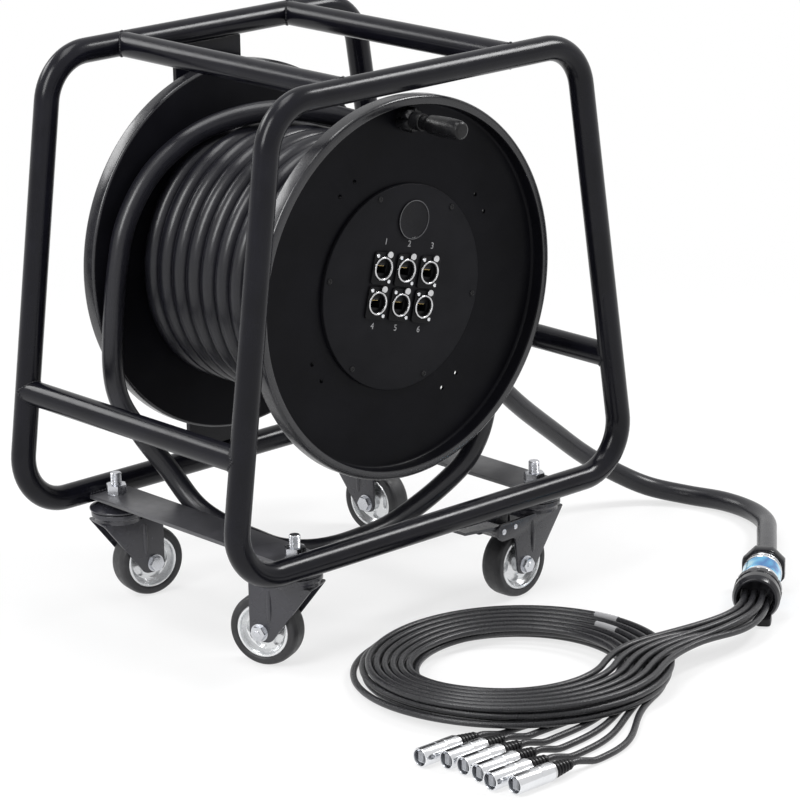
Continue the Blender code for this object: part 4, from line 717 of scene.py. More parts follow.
def add_stage():
    floor = bmesh.new()
    bmesh.ops.create_grid(floor, x_segments=1, y_segments=1, size=FLOOR_HALF)
    obj = put("floor", mesh_of("floor", floor))
    obj.location.z = -FLOOR_DROP
    mat, tree, shader = graph("floor_white", FLOOR_WHITE, 0.9, shine=0.1)
    coords = add_node(tree, "TexCoord", "Object", {})
    reach = add_node(tree, "VectorMath", "Value", {0: coords}, operation="LENGTH")
    glowing = remap(tree, reach, GLOW_LOW, GLOW_HIGH, GLOW_FROM, GLOW_TO)
    share = maths(tree, "MULTIPLY", seen_ray(tree), glowing)
    glow = add_node(tree, "Emission", "Emission", {"Color": (1, 1, 1, 1)})
    show_mix(tree, share, shader.outputs["BSDF"], glow, "Material Output")
    obj.data.materials.append(mat)


def add_light(name, place, target, size, power):
    data = bpy.data.lights.new(name, "AREA")
    data.shape = "RECTANGLE"
    data.size, data.size_y = size
    data.energy = power
    lamp = put(name, data)
    lamp.location = place
    lamp.rotation_euler = (Vector(target) - Vector(place)).to_track_quat("-Z", "Y").to_euler()


def add_world():
    world = bpy.data.worlds.new("world")
    bpy.context.scene.world = world
    world.use_nodes = True
    tree = world.node_tree
    base = tree.nodes["Background"]
    base.inputs["Color"].default_value = (1, 1, 1, 1)
    base.inputs["Strength"].default_value = WORLD_LIGHT
    white = add_node(tree, "Background", "Background", {"Strength": 1.0})
    show_mix(tree, seen_ray(tree), base.outputs["Background"], white, "World Output")


add_stage()
add_world()
add_light("top_soft", (-0.2, 0.1, 2.4), (0, 0, 0.3), (1.4, 0.7), 16)
add_light("left_soft", (-1.9, -0.3, 1.7), (0, 0, 0.3), (0.7, 1.5), 36)
add_light("back_soft", (-0.8, 2.1, 1.7), (0, 0, 0.3), (1.3, 0.7), 20)
add_light("right_soft", (1.35, -0.8, 1.75), (-0.1, -0.1, 0.15), (0.5, 0.8), 28)
bpy.context.scene.view_settings.view_transform = "Standard"


# Tube frame

LOOP_CORNER = 0.05
TUBE_SIDES = 40
TUBE_SHARP = 60                          # keeps a round tube smooth
FLATS_SHARP = 25                         # and this keeps a nut's flats crisp
BAR_KNOTS = (-LOOP_Y, -0.1, 0.0, 0.1, LOOP_Y)
BEAD, BEAD_SWELL, BEAD_POINTS = 0.0017, 0.0004, 150
BEAD_INSET = 0.93                        # the beads lie a little inside the bar's own radius
SEAM, SEAM_SWELL, SEAM_STEPS = 0.0018, 0.0005, 60
SEAM_LENGTH, SEAM_GAP = 0.044, 0.0002


def loop_half(z):
    return LOOP_LOW_HALF + (LOOP_HIGH_HALF - LOOP_LOW_HALF) * (z - LOOP_LOW) / (LOOP_HIGH - LOOP_LOW)


def ripple(middle, swell, count):
    """Radii of a weld bead, which thickens at each fifth point."""
    return [middle + swell * math.sin(k * TAU / 5) for k in range(count)]


def add_loops():
    corners = [(-LOOP_LOW_HALF, LOOP_LOW), (LOOP_LOW_HALF, LOOP_LOW),
               (LOOP_HIGH_HALF, LOOP_HIGH), (-LOOP_HIGH_HALF, LOOP_HIGH)]
    outline = fillet(corners, [LOOP_CORNER] * 4, 16)
    for side, y in (("near", -LOOP_Y), ("far", LOOP_Y)):
        tube = sweep([(x, y + SHIFT, z) for x, z in outline], TUBE, TUBE_SIDES, closed=True)
        piece(f"loop_tube_{side}", tube, POWDER, "frame", [f"frame_loop_{side}"], TUBE_SHARP)


def add_bars():
    """The cross bars between the loops, with a bead where each end meets a loop."""
    lean = math.atan2(LOOP_HIGH_HALF - LOOP_LOW_HALF, LOOP_HIGH - LOOP_LOW)
    half = loop_half(SIDE_BAR_Z)
    bars = {
        "top_bar_left": (-TOP_BAR_X, LOOP_HIGH, math.pi / 2),
        "top_bar_right": (TOP_BAR_X, LOOP_HIGH, math.pi / 2),
        "side_bar_left": (-half, SIDE_BAR_Z, -lean),
        "side_bar_right": (half, SIDE_BAR_Z, lean),
    }
    beads = bmesh.new()
    for name, (x, z, tilt) in bars.items():
        bar = sweep([(x, y + SHIFT, z) for y in BAR_KNOTS], TUBE, TUBE_SIDES)
        piece(f"{name}_tube", bar, POWDER, "frame", [name], TUBE_SHARP)
        turn = Matrix.Rotation(-tilt, 3, "Y")
        for sign in (-1, 1):
            points = []
            for across, up in round_points(TUBE, BEAD_POINTS):
                local = turn @ Vector((across, 0, up))
                y = sign * (LOOP_Y - math.sqrt(max(0.0, TUBE**2 - local.x**2)))
                points.append((x + across * BEAD_INSET, SHIFT + y, z + up * BEAD_INSET))
            sweep(points, ripple(BEAD, BEAD_SWELL, BEAD_POINTS), 8, closed=True, shape=beads)
    for x in (-CASTER_X, CASTER_X):
        for sign in (-1, 1):
            y = sign * (LOOP_Y - TUBE - SEAM_GAP)
            along = [x + SEAM_LENGTH * (k / SEAM_STEPS - 0.5) for k in range(SEAM_STEPS + 1)]
            points = [(step, y + SHIFT, LOOP_LOW + SEAM_GAP) for step in along]
            sweep(points, ripple(SEAM, SEAM_SWELL, SEAM_STEPS + 1), 8, shape=beads)
    piece("weld_beads", beads, POWDER, "frame", sharp=TUBE_SHARP)


def thread(radius, low, high, pitch, matrix, lead=0.0008):
    """A turned thread, as close rings with a chamfered end."""
    profile = [(0, low), (radius, low)]
    root = radius - 0.32 * pitch
    z = low
    while z + pitch < high - lead:
        profile += [(radius, z + 0.15 * pitch), (root, z + 0.5 * pitch), (radius, z + 0.85 * pitch)]
        z += pitch
    profile += [(radius, high - lead), (radius - lead, high), (0, high)]
    return lathe(profile, 28, matrix)


BAR_WIDTH, BAR_THICK, BAR_GAP = 0.046, 0.004, 0.0003
UPPER_CUP = [(0.0, 0.097), (0.028, 0.097), (0.028, 0.099), (0.0142, 0.1035), (0.0142, 0.1086),
             (0.0, 0.1086)]
STUD_FOOT = [(0, 0.0812), (0.01, 0.0812), (0.0108, 0.0822), (0.0108, 0.0834), (0.007, 0.0834),
             (0.007, 0.0972), (0, 0.0972)]
STUD, STUD_PITCH = 0.0056, 0.0011
STUD_LOW, STUD_TOP = LOOP_LOW - 0.002, LOOP_LOW + 0.022
STUD_FLATS, STUD_BORE = 0.019, 0.005
STUD_NUT_LOW, STUD_NUT_TOP = LOOP_LOW + 0.0006, LOOP_LOW + 0.01
WASHER_INNER, WASHER_OUTER = 0.0058, 0.0102


def add_caster_bars():
    for side, x in (("left", -CASTER_X), ("right", CASTER_X)):
        outline = rect(BAR_WIDTH, 2 * (LOOP_Y - TUBE - BAR_GAP))
        bar = prism(outline, LOOP_LOW - BAR_THICK, LOOP_LOW, BASE @ at(x), bevel=0.0005)
        cups = bmesh.new()
        metal = bmesh.new()
        for y in (-CASTER_Y, CASTER_Y):
            place = BASE @ at(x, y)
            turned(UPPER_CUP, [0, 0.0006, 0.001, 0.002, 0, 0], 4, 64, place, cups)
            lathe(STUD_FOOT, 32, place, cups)
            join(metal, nut(STUD_FLATS, STUD_NUT_LOW, STUD_NUT_TOP, place, STUD_BORE),
                 ring(WASHER_INNER, WASHER_OUTER, LOOP_LOW, STUD_NUT_LOW, 32, place),
                 thread(STUD, STUD_LOW, STUD_TOP, STUD_PITCH, place))
        piece(f"caster_bar_{side}_plate", bar, BAR, "frame", [f"caster_bar_{side}"])
        piece(f"race_cups_{side}", cups, FORGED, "frame")
        piece(f"stud_nuts_{side}", metal, ZINC, "frame", sharp=FLATS_SHARP)


SPINDLE, SPINDLE_FLANGE, SPINDLE_CHAMFER = 0.01, 0.036, 0.0008
SPINDLE_TIP = -0.075
PLATE_BACK, PLATE_FRONT = LOOP_Y + 0.0025, LOOP_Y - 0.0028
SPINDLE_END = PLATE_BACK + 0.002
FLANGE_FRONT = LOOP_Y - 0.0088
BOLT_CIRCLE, BOLT_FLATS, BOLT = 0.0265, 0.013, 0.004


def add_axle():
    slim = SPINDLE - SPINDLE_CHAMFER
    profile = [(0.0, SPINDLE_END), (slim, SPINDLE_END), (SPINDLE, SPINDLE_END - SPINDLE_CHAMFER),
               (SPINDLE, PLATE_FRONT), (SPINDLE_FLANGE, PLATE_FRONT),
               (SPINDLE_FLANGE, FLANGE_FRONT + SPINDLE_CHAMFER),
               (SPINDLE_FLANGE - 0.0006, FLANGE_FRONT), (SPINDLE, FLANGE_FRONT),
               (SPINDLE, SPINDLE_TIP + SPINDLE_CHAMFER), (slim, SPINDLE_TIP), (0.0, SPINDLE_TIP)]
    piece("spindle", lathe(profile, 64, AXLE @ FLIP), ZINC, "frame", ["axle_spindle"])
    bolts = bmesh.new()
    for x, z in round_points(BOLT_CIRCLE, 4, 0.5):
        far = AXLE @ at(x, 0, z) @ FLIP
        near = far @ MIRROR
        join(bolts, nut(BOLT_FLATS, PLATE_BACK + 0.0003, PLATE_BACK + 0.0056, far),
             nut(BOLT_FLATS, -FLANGE_FRONT, 0.0065 - FLANGE_FRONT, near),
             thread(BOLT, 0.02 - LOOP_Y, 0.0168 - LOOP_Y, 0.00125, near, 0.0004))
    piece("spindle_bolts", bolts, ZINC, "frame", sharp=FLATS_SHARP)


add_loops()
add_bars()
add_caster_bars()
add_axle()
dress("upright_plate", POWDER)
dress("axle_collar", ZINC)


# Drum, its flanges and the cable on it

DISC_RADIUS, RIM_RADIUS = 0.19, 0.1805
SHEET, RIM_DEPTH = 0.003, 0.018
DISC_BORES = {"near": 0.07, "far": 0.04}
RIM_PAINT = RIM_RADIUS + 0.0008          # faces outside this radius are the rim's
HOLE, HOLE_CIRCLE = 0.0023, 0.1265
HOLE_TURN = 5                            # degrees to each side of a diagonal
WINDING_INSET, WINDING_STEPS = 0.011, 72
LAYERS, LAYER_FOOT, LAYER_BOTTOM, LAYER_SWELL, LAYER_GAP = 11, 0.076, 0.101, 0.01, 0.0004


def add_flanges():
    for side, inner, way in (("near", DRUM_NEAR, -1), ("far", DRUM_FAR, 1)):
        bore, sheet, edge = DISC_BORES[side], inner + way * SHEET, inner + way * RIM_DEPTH
        corners = [(bore, inner), (DISC_RADIUS, inner), (DISC_RADIUS, edge),
                   (RIM_RADIUS, edge), (RIM_RADIUS, sheet), (bore, sheet)]
        disc = turned(corners, [0, 0.0025, 0.004, 0.0016, 0.003, 0], 6, 192, DRUM @ FLIP)
        if side == "near":
            holes = []
            for diagonal in (45, 135, 225, 315):
                for spread in (-HOLE_TURN, HOLE_TURN):
                    turn = math.radians(diagonal + spread)
                    place = DRUM @ at(HOLE_CIRCLE * math.cos(turn), 0, HOLE_CIRCLE * math.sin(turn))
                    holes.append(cylinder(HOLE, inner - 0.01, inner + 0.01, 20, place @ FLIP))
            disc = carve(disc, holes)
        disc = piece(f"drum_disc_{side}", disc, DISC, "drum", [f"flange_{side}"])
        disc.data.materials.append(RIM)
        for face in disc.data.polygons:
            reach = math.hypot(face.center.x, face.center.z - AXLE_Z)
            face.material_index = int(reach > RIM_PAINT)


def add_winding():
    """The outer turns as one cable, over a ribbed sleeve for the layers below them."""
    start = DRUM_NEAR + WINDING_INSET
    pitch = (start - (DRUM_FAR - WINDING_INSET)) / WINDING_TURNS
    points = []
    count = round(WINDING_TURNS * WINDING_STEPS)
    for step in range(count + 1):
        left = WINDING_TURNS * (1 - step / count)
        x, z = WINDING * math.cos(TAU * left), WINDING * math.sin(TAU * left)
        points.append(Vector((x, start - pitch * left + SHIFT, z + AXLE_Z)))
    lead = Vector((0, 0, -2 * CABLE))
    points.insert(0, points[0] - Matrix.Rotation(-TAU * WINDING_TURNS, 3, "Y") @ lead)
    points.append(points[-1] + lead)
    piece("cable_turns", sweep(points, CABLE, 22), JACKET, "drum", ["cable_winding"], TUBE_SHARP)
    low, high = DRUM_NEAR + LAYER_GAP, DRUM_FAR - LAYER_GAP
    profile = [(LAYER_FOOT, high), (LAYER_FOOT, low)]
    for k in range(LAYERS * 8 + 1):
        share = k / (LAYERS * 8)
        across = 2 * ((share * LAYERS) % 1) - 1
        radius = LAYER_BOTTOM + LAYER_SWELL * math.sqrt(max(0.0, 1 - across ** 2))
        profile.append((radius, low + (high - low) * share))
    sleeve = lathe(profile, 72, AXLE @ FLIP)
    piece("cable_lower_layers", sleeve, JACKET, "drum", ["cable_under_layers"], TUBE_SHARP)


def screw_head(radius, height, matrix, recess=0.45):
    """A pan-head screw with a cross recess, standing along Z."""
    head = lathe([(0, 0), (radius, 0), (radius, height * 0.35), (radius * 0.85, height * 0.8),
                  (radius * 0.5, height), (0, height)], 24)
    long, wide = radius * 1.2, radius * 0.26
    floor = height * (1 - recess)
    arms = [prism(rect(*size), floor, height * 2) for size in ((long, wide), (wide, long))]
    head = carve(head, arms)
    head.transform(matrix)
    return head


# The sockets' middles on the panel, two rows of three
SOCKET_PITCH, SOCKET_ROW = 0.031, 0.017
SOCKETS = [((k % 3 - 1) * SOCKET_PITCH, SOCKET_ROW if k < 3 else -SOCKET_ROW) for k in range(6)]

PANEL_RADIUS, PANEL_BACK, PANEL_FRONT = 0.102, DRUM_NEAR - 0.0033, DRUM_NEAR - 0.007
PANEL_HOLE, PANEL_SCREW_CIRCLE = 0.0122, 0.096
PANEL_SCREW, PANEL_SCREW_HEIGHT = 0.0028, 0.0014
BADGE_PLACE = DRUM @ at(0, 0, 0.067) @ FLIP
BADGE_BACK, BADGE_FRONT = PANEL_FRONT + 0.0001, PANEL_FRONT - 0.0016
BADGE_FLOOR = BADGE_FRONT + 0.0005
DIGIT_SIZE, DIGIT_DEPTH = 0.0088, 0.00008
DIGIT_TOP, DIGIT_BOTTOM = 0.043, -0.04


def add_panel():
    corners = [(0, PANEL_BACK), (PANEL_RADIUS, PANEL_BACK), (PANEL_RADIUS, PANEL_FRONT), (0, PANEL_FRONT)]
    disc = turned(corners, [0, 0, 0.001, 0], 4, 160, DRUM @ FLIP)
    holes = []
    for x, z in SOCKETS:
        place = DRUM @ at(x, 0, z) @ FLIP
        holes.append(cylinder(PANEL_HOLE, PANEL_BACK - 0.01, PANEL_BACK + 0.01, 32, place))
    piece("panel_disc", carve(disc, holes), PANEL, "drum", ["connector_panel"])
    screws = bmesh.new()
    for x, z in round_points(PANEL_SCREW_CIRCLE, 6):
        join(screws, screw_head(PANEL_SCREW, PANEL_SCREW_HEIGHT, DRUM @ FRONT @ at(x, z, -PANEL_FRONT)))
    piece("panel_screws", screws, MOULDED, "drum")


def add_badge():
    corners = [(0, BADGE_BACK), (0.0194, BADGE_BACK), (0.0194, BADGE_FRONT), (0.0178, BADGE_FRONT),
               (0.0174, BADGE_FLOOR), (0, BADGE_FLOOR)]
    disc = turned(corners, [0, 0, 0.0005, 0.0005, 0.0003, 0], 3, 96, BADGE_PLACE)
    piece("bare_badge", disc, BADGE, "drum", ["panel_badge"])
    back, front = BADGE_FRONT + 0.0004, BADGE_FRONT - 0.0001
    rim = lathe([(0.0184, back), (0.0194, back), (0.0193, front), (0.0185, front)], 96, BADGE_PLACE)
    piece("badge_rim", rim, EDGE, "drum")


def add_digits():
    for number, (x, z) in enumerate(SOCKETS, 1):
        curve = bpy.data.curves.new("digit", "FONT")
        curve.body = str(number)
        curve.size = DIGIT_SIZE
        curve.extrude = DIGIT_DEPTH
        curve.align_x, curve.align_y = "CENTER", "CENTER"
        temp = put("digit", curve)
        digit = bmesh.new()
        digit.from_mesh(evaluated(temp))
        bpy.data.objects.remove(temp)
        bpy.data.curves.remove(curve)
        place = DRUM @ at(x, PANEL_FRONT - 0.0001, DIGIT_TOP if z > 0 else DIGIT_BOTTOM)
        digit.transform(place @ Matrix.Rotation(math.pi / 2, 4, "X"))
        piece(f"digit_{number}", digit, PRINT, "drum")


# A socket's heights, out from the drum's middle
PLATE_FOOT, PLATE_FACE = 0.0073 - DRUM_NEAR, 0.0091 - DRUM_NEAR
SOCKET_WIDTH, SOCKET_HEIGHT = 0.026, 0.0316
BARREL, BARREL_DEPTH = 0.0115, 0.027
WELL, WELL_FLOOR = 0.0092, PLATE_FACE - 0.003
SOCKET_MOUTH, TONGUE = (0.0118, 0.0098), (0.0112, 0.003)
SOCKET_SCREW, SOCKET_SCREW_HEIGHT = 0.0021, 0.0012
SOCKET_SCREWS = ((-0.0095, 0.012), (0.0095, -0.012))
SOCKET_RING = [(0.0117, 0.0), (0.0117, 0.0016), (0.0099, 0.0016), (0.0092, -0.0028), (0.0098, -0.0028),
               (0.0102, 0.0)]
CONTACT_PITCH = 0.00105
TAB_X, TAB_Z = 0.0045, 0.0142
TAB_WIDE, TAB_HIGH = 0.0036, 0.0033
TAB_BACK = PLATE_FACE + 0.0013
TAB_THICK, TAB_RIDGES, RIDGE_PITCH = 0.0014, 5, 0.0009
RING_CLEAR = 0.0121                      # a tab's outline keeps this far from the ring's middle


def lift(profile, height):
    """A profile moved along its axis."""
    return [(radius, height + z) for radius, z in profile]


def add_socket(number, out):
    plate = prism(fillet(rect(SOCKET_WIDTH, SOCKET_HEIGHT), [0.003] * 4, 5), PLATE_FOOT, PLATE_FACE,
                  bevel=0.0003)
    barrel = cylinder(BARREL, PLATE_FOOT - BARREL_DEPTH, PLATE_FACE - 0.0004, 40)
    well = lathe([(0, PLATE_FACE + 1), (WELL, PLATE_FACE + 1), (WELL, WELL_FLOOR), (0, WELL_FLOOR)], 40)
    mouth = prism(rect(*SOCKET_MOUTH), PLATE_FACE - 0.015, PLATE_FACE + 1)
    body = carve(carve(plate, [barrel], "UNION"), [well, mouth])
    body.transform(out)
    piece(f"socket_body_{number}", body, SOCKET, "drum", [f"socket_{number}"])
    rim = turned(lift(SOCKET_RING, PLATE_FACE), [0.0003, 0.0007, 0.0008, 0, 0, 0], 4, 64, out)
    piece(f"socket_ring_{number}", rim, SATIN, "drum")
    tongue = prism(rect(*TONGUE, 0, 0.004), PLATE_FACE - 0.014, PLATE_FACE - 0.0036, out, 0.0002)
    piece(f"socket_tongue_{number}", tongue, MOULDED, "drum")
    contacts = bmesh.new()
    for k in range(8):
        wire = rect(0.0005, 0.0006, (k - 3.5) * CONTACT_PITCH, 0.0023)
        prism(wire, PLATE_FACE - 0.013, PLATE_FACE - 0.0042, out, 0.0, contacts)
    piece(f"socket_contacts_{number}", contacts, GOLD, "drum")
    screws = bmesh.new()
    for x, z in SOCKET_SCREWS:
        join(screws, screw_head(SOCKET_SCREW, SOCKET_SCREW_HEIGHT, out @ at(x, z, PLATE_FACE)))
    piece(f"socket_screws_{number}", screws, CHROME, "drum")


def add_tab(number, out):
    """A socket's release tab, with five ridges, and a stem behind it."""
    oval = [Vector((TAB_X + TAB_WIDE * x, TAB_Z + TAB_HIGH * z)) for x, z in round_points(1.0, 36)]
    oval = [tuple(spot * max(1.0, RING_CLEAR / spot.length)) for spot in oval]
    tab = prism(oval, TAB_BACK, TAB_BACK + TAB_THICK, out, 0.0004)
    for k in range(TAB_RIDGES):
        ridge = rect(0.0042, 0.0004, TAB_X, TAB_Z + (k - TAB_RIDGES // 2) * RIDGE_PITCH)
        prism(ridge, TAB_BACK + 0.0013, TAB_BACK + 0.0016, out, 0.0, tab)
    prism(rect(0.0036, 0.0014, TAB_X, 0.014), TAB_BACK - 0.0015, TAB_BACK + 0.0004, out, 0.0, tab)
    piece(f"release_tab_{number}", tab, SATIN, f"tab_{number}", [f"latch_tab_{number}"])


def add_sockets():
    for number, (x, z) in enumerate(SOCKETS, 1):
        out = DRUM @ at(x, 0, z) @ FRONT
        add_socket(number, out)
        add_tab(number, out)


# The crank's heights, out from the drum's middle
CRANK_SHEET = 0.1175
PIN, PIN_WASHER, PIN_LOW, PIN_HIGH = 0.004, 0.0075, 0.1147, 0.195
KNOB_BASE, KNOB_FRONT = CRANK_SHEET + 0.0036, CRANK_SHEET + 0.0301
KNOB_CORE, KNOB_ARM, KNOB_ARMS = 0.0088, 0.0039, 5
GRIP_LOW = KNOB_FRONT + 0.0006
GRIP_LENGTH = 0.0535
GRIP_HIGH = GRIP_LOW + GRIP_LENGTH
# The grip's (radius, share of its length) from its foot to its widest stretch and down again
GRIP_SHAPE = [(0.0042, 0), (0.0072, 0), (0.0072, 0.1), (0.0092, 0.2), (0.0098, 0.38), (0.01, 0.55),
              (0.0099, 0.74), (0.0094, 0.9)]


def add_handle():
    place = DRUM @ at(HANDLE * math.cos(HANDLE_TURN), 0, HANDLE * math.sin(HANDLE_TURN)) @ FRONT
    washer_low, washer_high = CRANK_SHEET + 0.0003, CRANK_SHEET + 0.0031
    pin = [(0, PIN_LOW), (PIN, PIN_LOW), (PIN, washer_low), (PIN_WASHER, washer_low),
           (PIN_WASHER, washer_high), (PIN, washer_high + 0.0002), (PIN, PIN_HIGH), (0, PIN_HIGH)]
    piece("handle_stud", lathe(pin, 32, place), ZINC, "drum", ["handle_pin"])
    outline = []
    for x, y in round_points(1.0, 120):
        swell = abs(math.cos(math.atan2(y, x) * KNOB_ARMS / 2)) ** 0.7
        reach = KNOB_CORE + KNOB_ARM * swell
        outline.append((reach * x, reach * y))
    star = prism(outline, KNOB_BASE, KNOB_BASE + 0.015)
    crown = [(0, -1), (0.0127, -1), (0.0127, 0.011), (0.0104, 0.0149), (0, 0.0151)]
    star = carve(star, [lathe(lift(crown, KNOB_BASE), 48)], "INTERSECT")
    shoulder = KNOB_BASE + 0.014
    boss = [(0.0043, shoulder), (0.0085, shoulder), (0.0085, KNOB_FRONT), (0.0043, KNOB_FRONT)]
    star = join(star, turned(boss, [0, 0, 0.0012, 0.0004], 4, 40))
    star.transform(place)
    piece("star_knob_body", star, MOULDED, "knob", ["star_knob"])
    shape = [(radius, GRIP_LOW + share * GRIP_LENGTH) for radius, share in GRIP_SHAPE]
    shape += lift([(0.0084, -0.0014), (0.0062, 0), (0.0, 0), (0.0, -0.005), (0.0042, -0.005)], GRIP_HIGH)
    radii = [0, 0.0005, 0.002, 0.004, 0.01, 0.01, 0.01, 0.01, 0.001, 0.002, 0, 0, 0]
    grip = turned(shape, radii, 5, 56, place)
    piece("crank_grip_body", grip, MOULDED, "grip", ["crank_grip"])
    cap = [(0, -0.0002), (0.0034, -0.0002), (0.0034, -0.0001), (0.0028, -0.0001), (0, -0.00005)]
    piece("grip_end_plug", lathe(lift(cap, GRIP_HIGH), 32, place), GLOSS, "grip")


add_flanges()
add_winding()
add_panel()
add_badge()
add_digits()
add_sockets()
add_handle()
dress("drum_core", DISC)
dress("drum_bush_near", BUSH)
dress("drum_bush_far", BUSH)


# Casters

WHEEL_OFFSET, WHEEL_RADIUS = 0.032, 0.036
TYRE_HALF, TYRE_INNER = 0.0125, 0.0275
# One side of the tyre and of the hub, from the edge to the middle, as (radius, height)
TYRE_SIDE = [(TYRE_INNER, TYRE_HALF - 0.0008), (0.029, TYRE_HALF), (0.0322, TYRE_HALF),
             (0.0338, TYRE_HALF - 0.0006), (0.0352, TYRE_HALF - 0.003), (0.0359, TYRE_HALF - 0.006)]
TYRE_ROUND = [0, 0.0006, 0.002, 0.002, 0.003, 0.004]
HUB_SIDE = [(0.0046, 0.0144), (0.0085, 0.0144), (0.0093, 0.0134), (0.0098, 0.0062), (0.014, 0.0046),
            (0.0205, 0.005), (0.0235, 0.0086), (0.0245, 0.0118), (0.0262, TYRE_HALF - 0.0002),
            (TYRE_INNER - 0.0002, TYRE_HALF - 0.0012)]
POCKETS, POCKET_LOW, POCKET_HIGH = 5, 0.0022, 0.02
POCKET_RADIUS, POCKET_REACH, POCKET_TURN = 0.0168, 0.0036, 0.4

FORK_INNER, FORK_OUTER = 0.015, 0.0175
CROWN, FORK_TOP, FORK_TOE = 0.084, 0.0865, 0.0265
BRAKE_FOOT = FORK_TOP - 0.018
LOWER_CUP = [(0, CROWN + 0.0012), (0.024, CROWN + 0.0012), (0.024, 0.0895), (0.0262, 0.0905),
             (0.0262, 0.0958), (0, 0.0958)]
RACE = [(0.0252, 0.0905), (0.0264, 0.0905), (0.0264, 0.0958), (0.0252, 0.0958)]
RIDGE_LOW, RIDGE_LENGTH, RIDGE_STEPS = 0.045, 0.037, 16
RIDGE_EDGE, RIDGE_SWELL = 0.0006, 0.0026
BRAKE_RIVETS = ((0.064, 0.0785), (0.047, 0.08))
WHEEL_NUT_FLATS, WHEEL_NUT_HEIGHT = 0.0134, 0.0054


def both_sides(side, middle=()):
    """A profile that runs down one side and back up the other, mirrored."""
    return side + list(middle) + [(radius, -z) for radius, z in reversed(side)]


def add_wheel(label, swivel):
    place = swivel @ at(WHEEL_OFFSET, 0, WHEEL_RADIUS) @ FLIP
    tyre = both_sides(TYRE_SIDE, [(WHEEL_RADIUS, 0.0)])
    radii = TYRE_ROUND + [0.02] + TYRE_ROUND[::-1]
    tread = turned(tyre, radii, 5, 96, place)
    piece(f"tyre_{label}", tread, RUBBER, f"wheel_{label}")
    hub = both_sides(HUB_SIDE)
    body = turned(hub, [0.0004] * len(hub), 3, 96)
    cutters = []
    for k in range(POCKETS):
        for way in (1, -1):
            pocket = []
            for x, y in round_points(1.0, 28):
                radius = POCKET_RADIUS + POCKET_REACH * x
                turn = TAU * k / POCKETS + POCKET_TURN * y
                pocket.append((radius * math.cos(turn), radius * math.sin(turn)))
            cutters.append(prism(pocket, POCKET_LOW * way, POCKET_HIGH * way))
    body = carve(body, cutters)
    body.transform(place)
    piece(f"hub_{label}", body, HUB, f"wheel_{label}", [f"caster_wheel_{label}"])


def add_fork(label, swivel):
    """The pressed fork, its lower race cup and the ridges down its sides."""
    braked = label == "right_near"
    corners = [(-0.0252, FORK_TOP), (0.0205, FORK_TOE), (0.043, FORK_TOE), (0.043, FORK_TOP)]
    radii = [0.0015, 0.008, 0.008, 0.0015]
    hollows = [prism(rect(0.5, 2 * FORK_INNER), -CROWN, CROWN)]
    if braked:
        corners[3:] = [(0.047, BRAKE_FOOT), (0.072, BRAKE_FOOT), (0.072, FORK_TOP)]
        radii[3:] = [0.004, 0.008, 0.006]
        hollows.append(prism(rect(0.1, 2 * FORK_INNER, 0.082), CROWN - 0.003, FORK_TOP + 0.003))
    channel = prism(fillet(corners, radii, 10), -FORK_OUTER, FORK_OUTER, FLIP, 0.0012)
    body = carve(channel, hollows)
    cup = turned(LOWER_CUP, [0, 0, 0.002, 0.0008, 0.0014, 0], 5, 72)
    kingpin = cylinder(0.0078, 0.07, 0.11, 32)
    body = carve(carve(body, [cup], "UNION"), [kingpin])
    shares = [k / RIDGE_STEPS for k in range(RIDGE_STEPS + 1)]
    swell = [RIDGE_EDGE + RIDGE_SWELL * abs(math.sin(math.pi * share)) ** 0.5 for share in shares]
    for way in (-1, 1):
        y = way * (FORK_OUTER - 0.001)
        line = [(0.0215, y, RIDGE_LOW + RIDGE_LENGTH * share) for share in shares]
        body = join(body, sweep(line, swell, 20))
    body.transform(swivel)
    piece(f"fork_{label}", body, FORGED, f"caster_{label}", [f"caster_fork_{label}"])
    if braked:
        add_brake_rivets(label, swivel)


def add_brake_rivets(label, swivel):
    rivets = bmesh.new()
    dome = lift([(0, -0.001), (0.0027, -0.001), (0.0027, 0.0004), (0.002, 0.0009), (0, 0.0011)],
                FORK_OUTER)
    for x, z in BRAKE_RIVETS:
        for way in (-1, 1):
            lathe(dome, 32, swivel @ at(x, 0, z) @ FLIP @ Matrix.Scale(way, 4, (0, 0, 1)), rivets)
    x, z = BRAKE_RIVETS[0]
    cylinder(0.003, -0.018, 0.018, 24, swivel @ at(x, 0, z) @ FLIP, rivets)
    piece("brake_rivets", rivets, ZINC, f"caster_{label}")


def add_fork_trim(label, swivel):
    """The wheel's bolt and nuts, and the lower race's rim."""
    metal = bmesh.new()
    place = swivel @ at(WHEEL_OFFSET, 0, WHEEL_RADIUS) @ FLIP
    cylinder(0.004, -0.019, 0.019, 24, place, metal)
    washer = [(0, -0.0001), (0.0088, -0.0001), (0.009, 0.0006), (0, 0.0006)]
    tip = [(0, 0.005), (0.0036, 0.005), (0.0036, 0.0056), (0.003, 0.0062), (0, 0.0062)]
    for way in (-1, 1):
        facing = place @ Matrix.Scale(way, 4, (0, 0, 1))
        join(metal, nut(WHEEL_NUT_FLATS, FORK_OUTER, FORK_OUTER + WHEEL_NUT_HEIGHT, facing),
             lathe(lift(washer, FORK_OUTER), 32, facing))
        if way > 0:
            join(metal, lathe(lift(tip, FORK_OUTER), 24, facing))
    piece(f"wheel_bolt_{label}", metal, ZINC, f"caster_{label}", sharp=FLATS_SHARP)
    race = turned(RACE, [0.0008] * 4, 4, 72, swivel)
    piece(f"race_rim_{label}", race, FORGED, f"caster_{label}")


def add_casters():
    for label, (x, y, heading) in CASTERS.items():
        swivel = BASE @ at(x, y) @ Matrix.Rotation(math.radians(heading), 4, "Z")
        add_wheel(label, swivel)
        add_fork_trim(label, swivel)
        add_fork(label, swivel)
    dress("brake_pedal", FORGED)


add_casters()


# Coupling and plugs

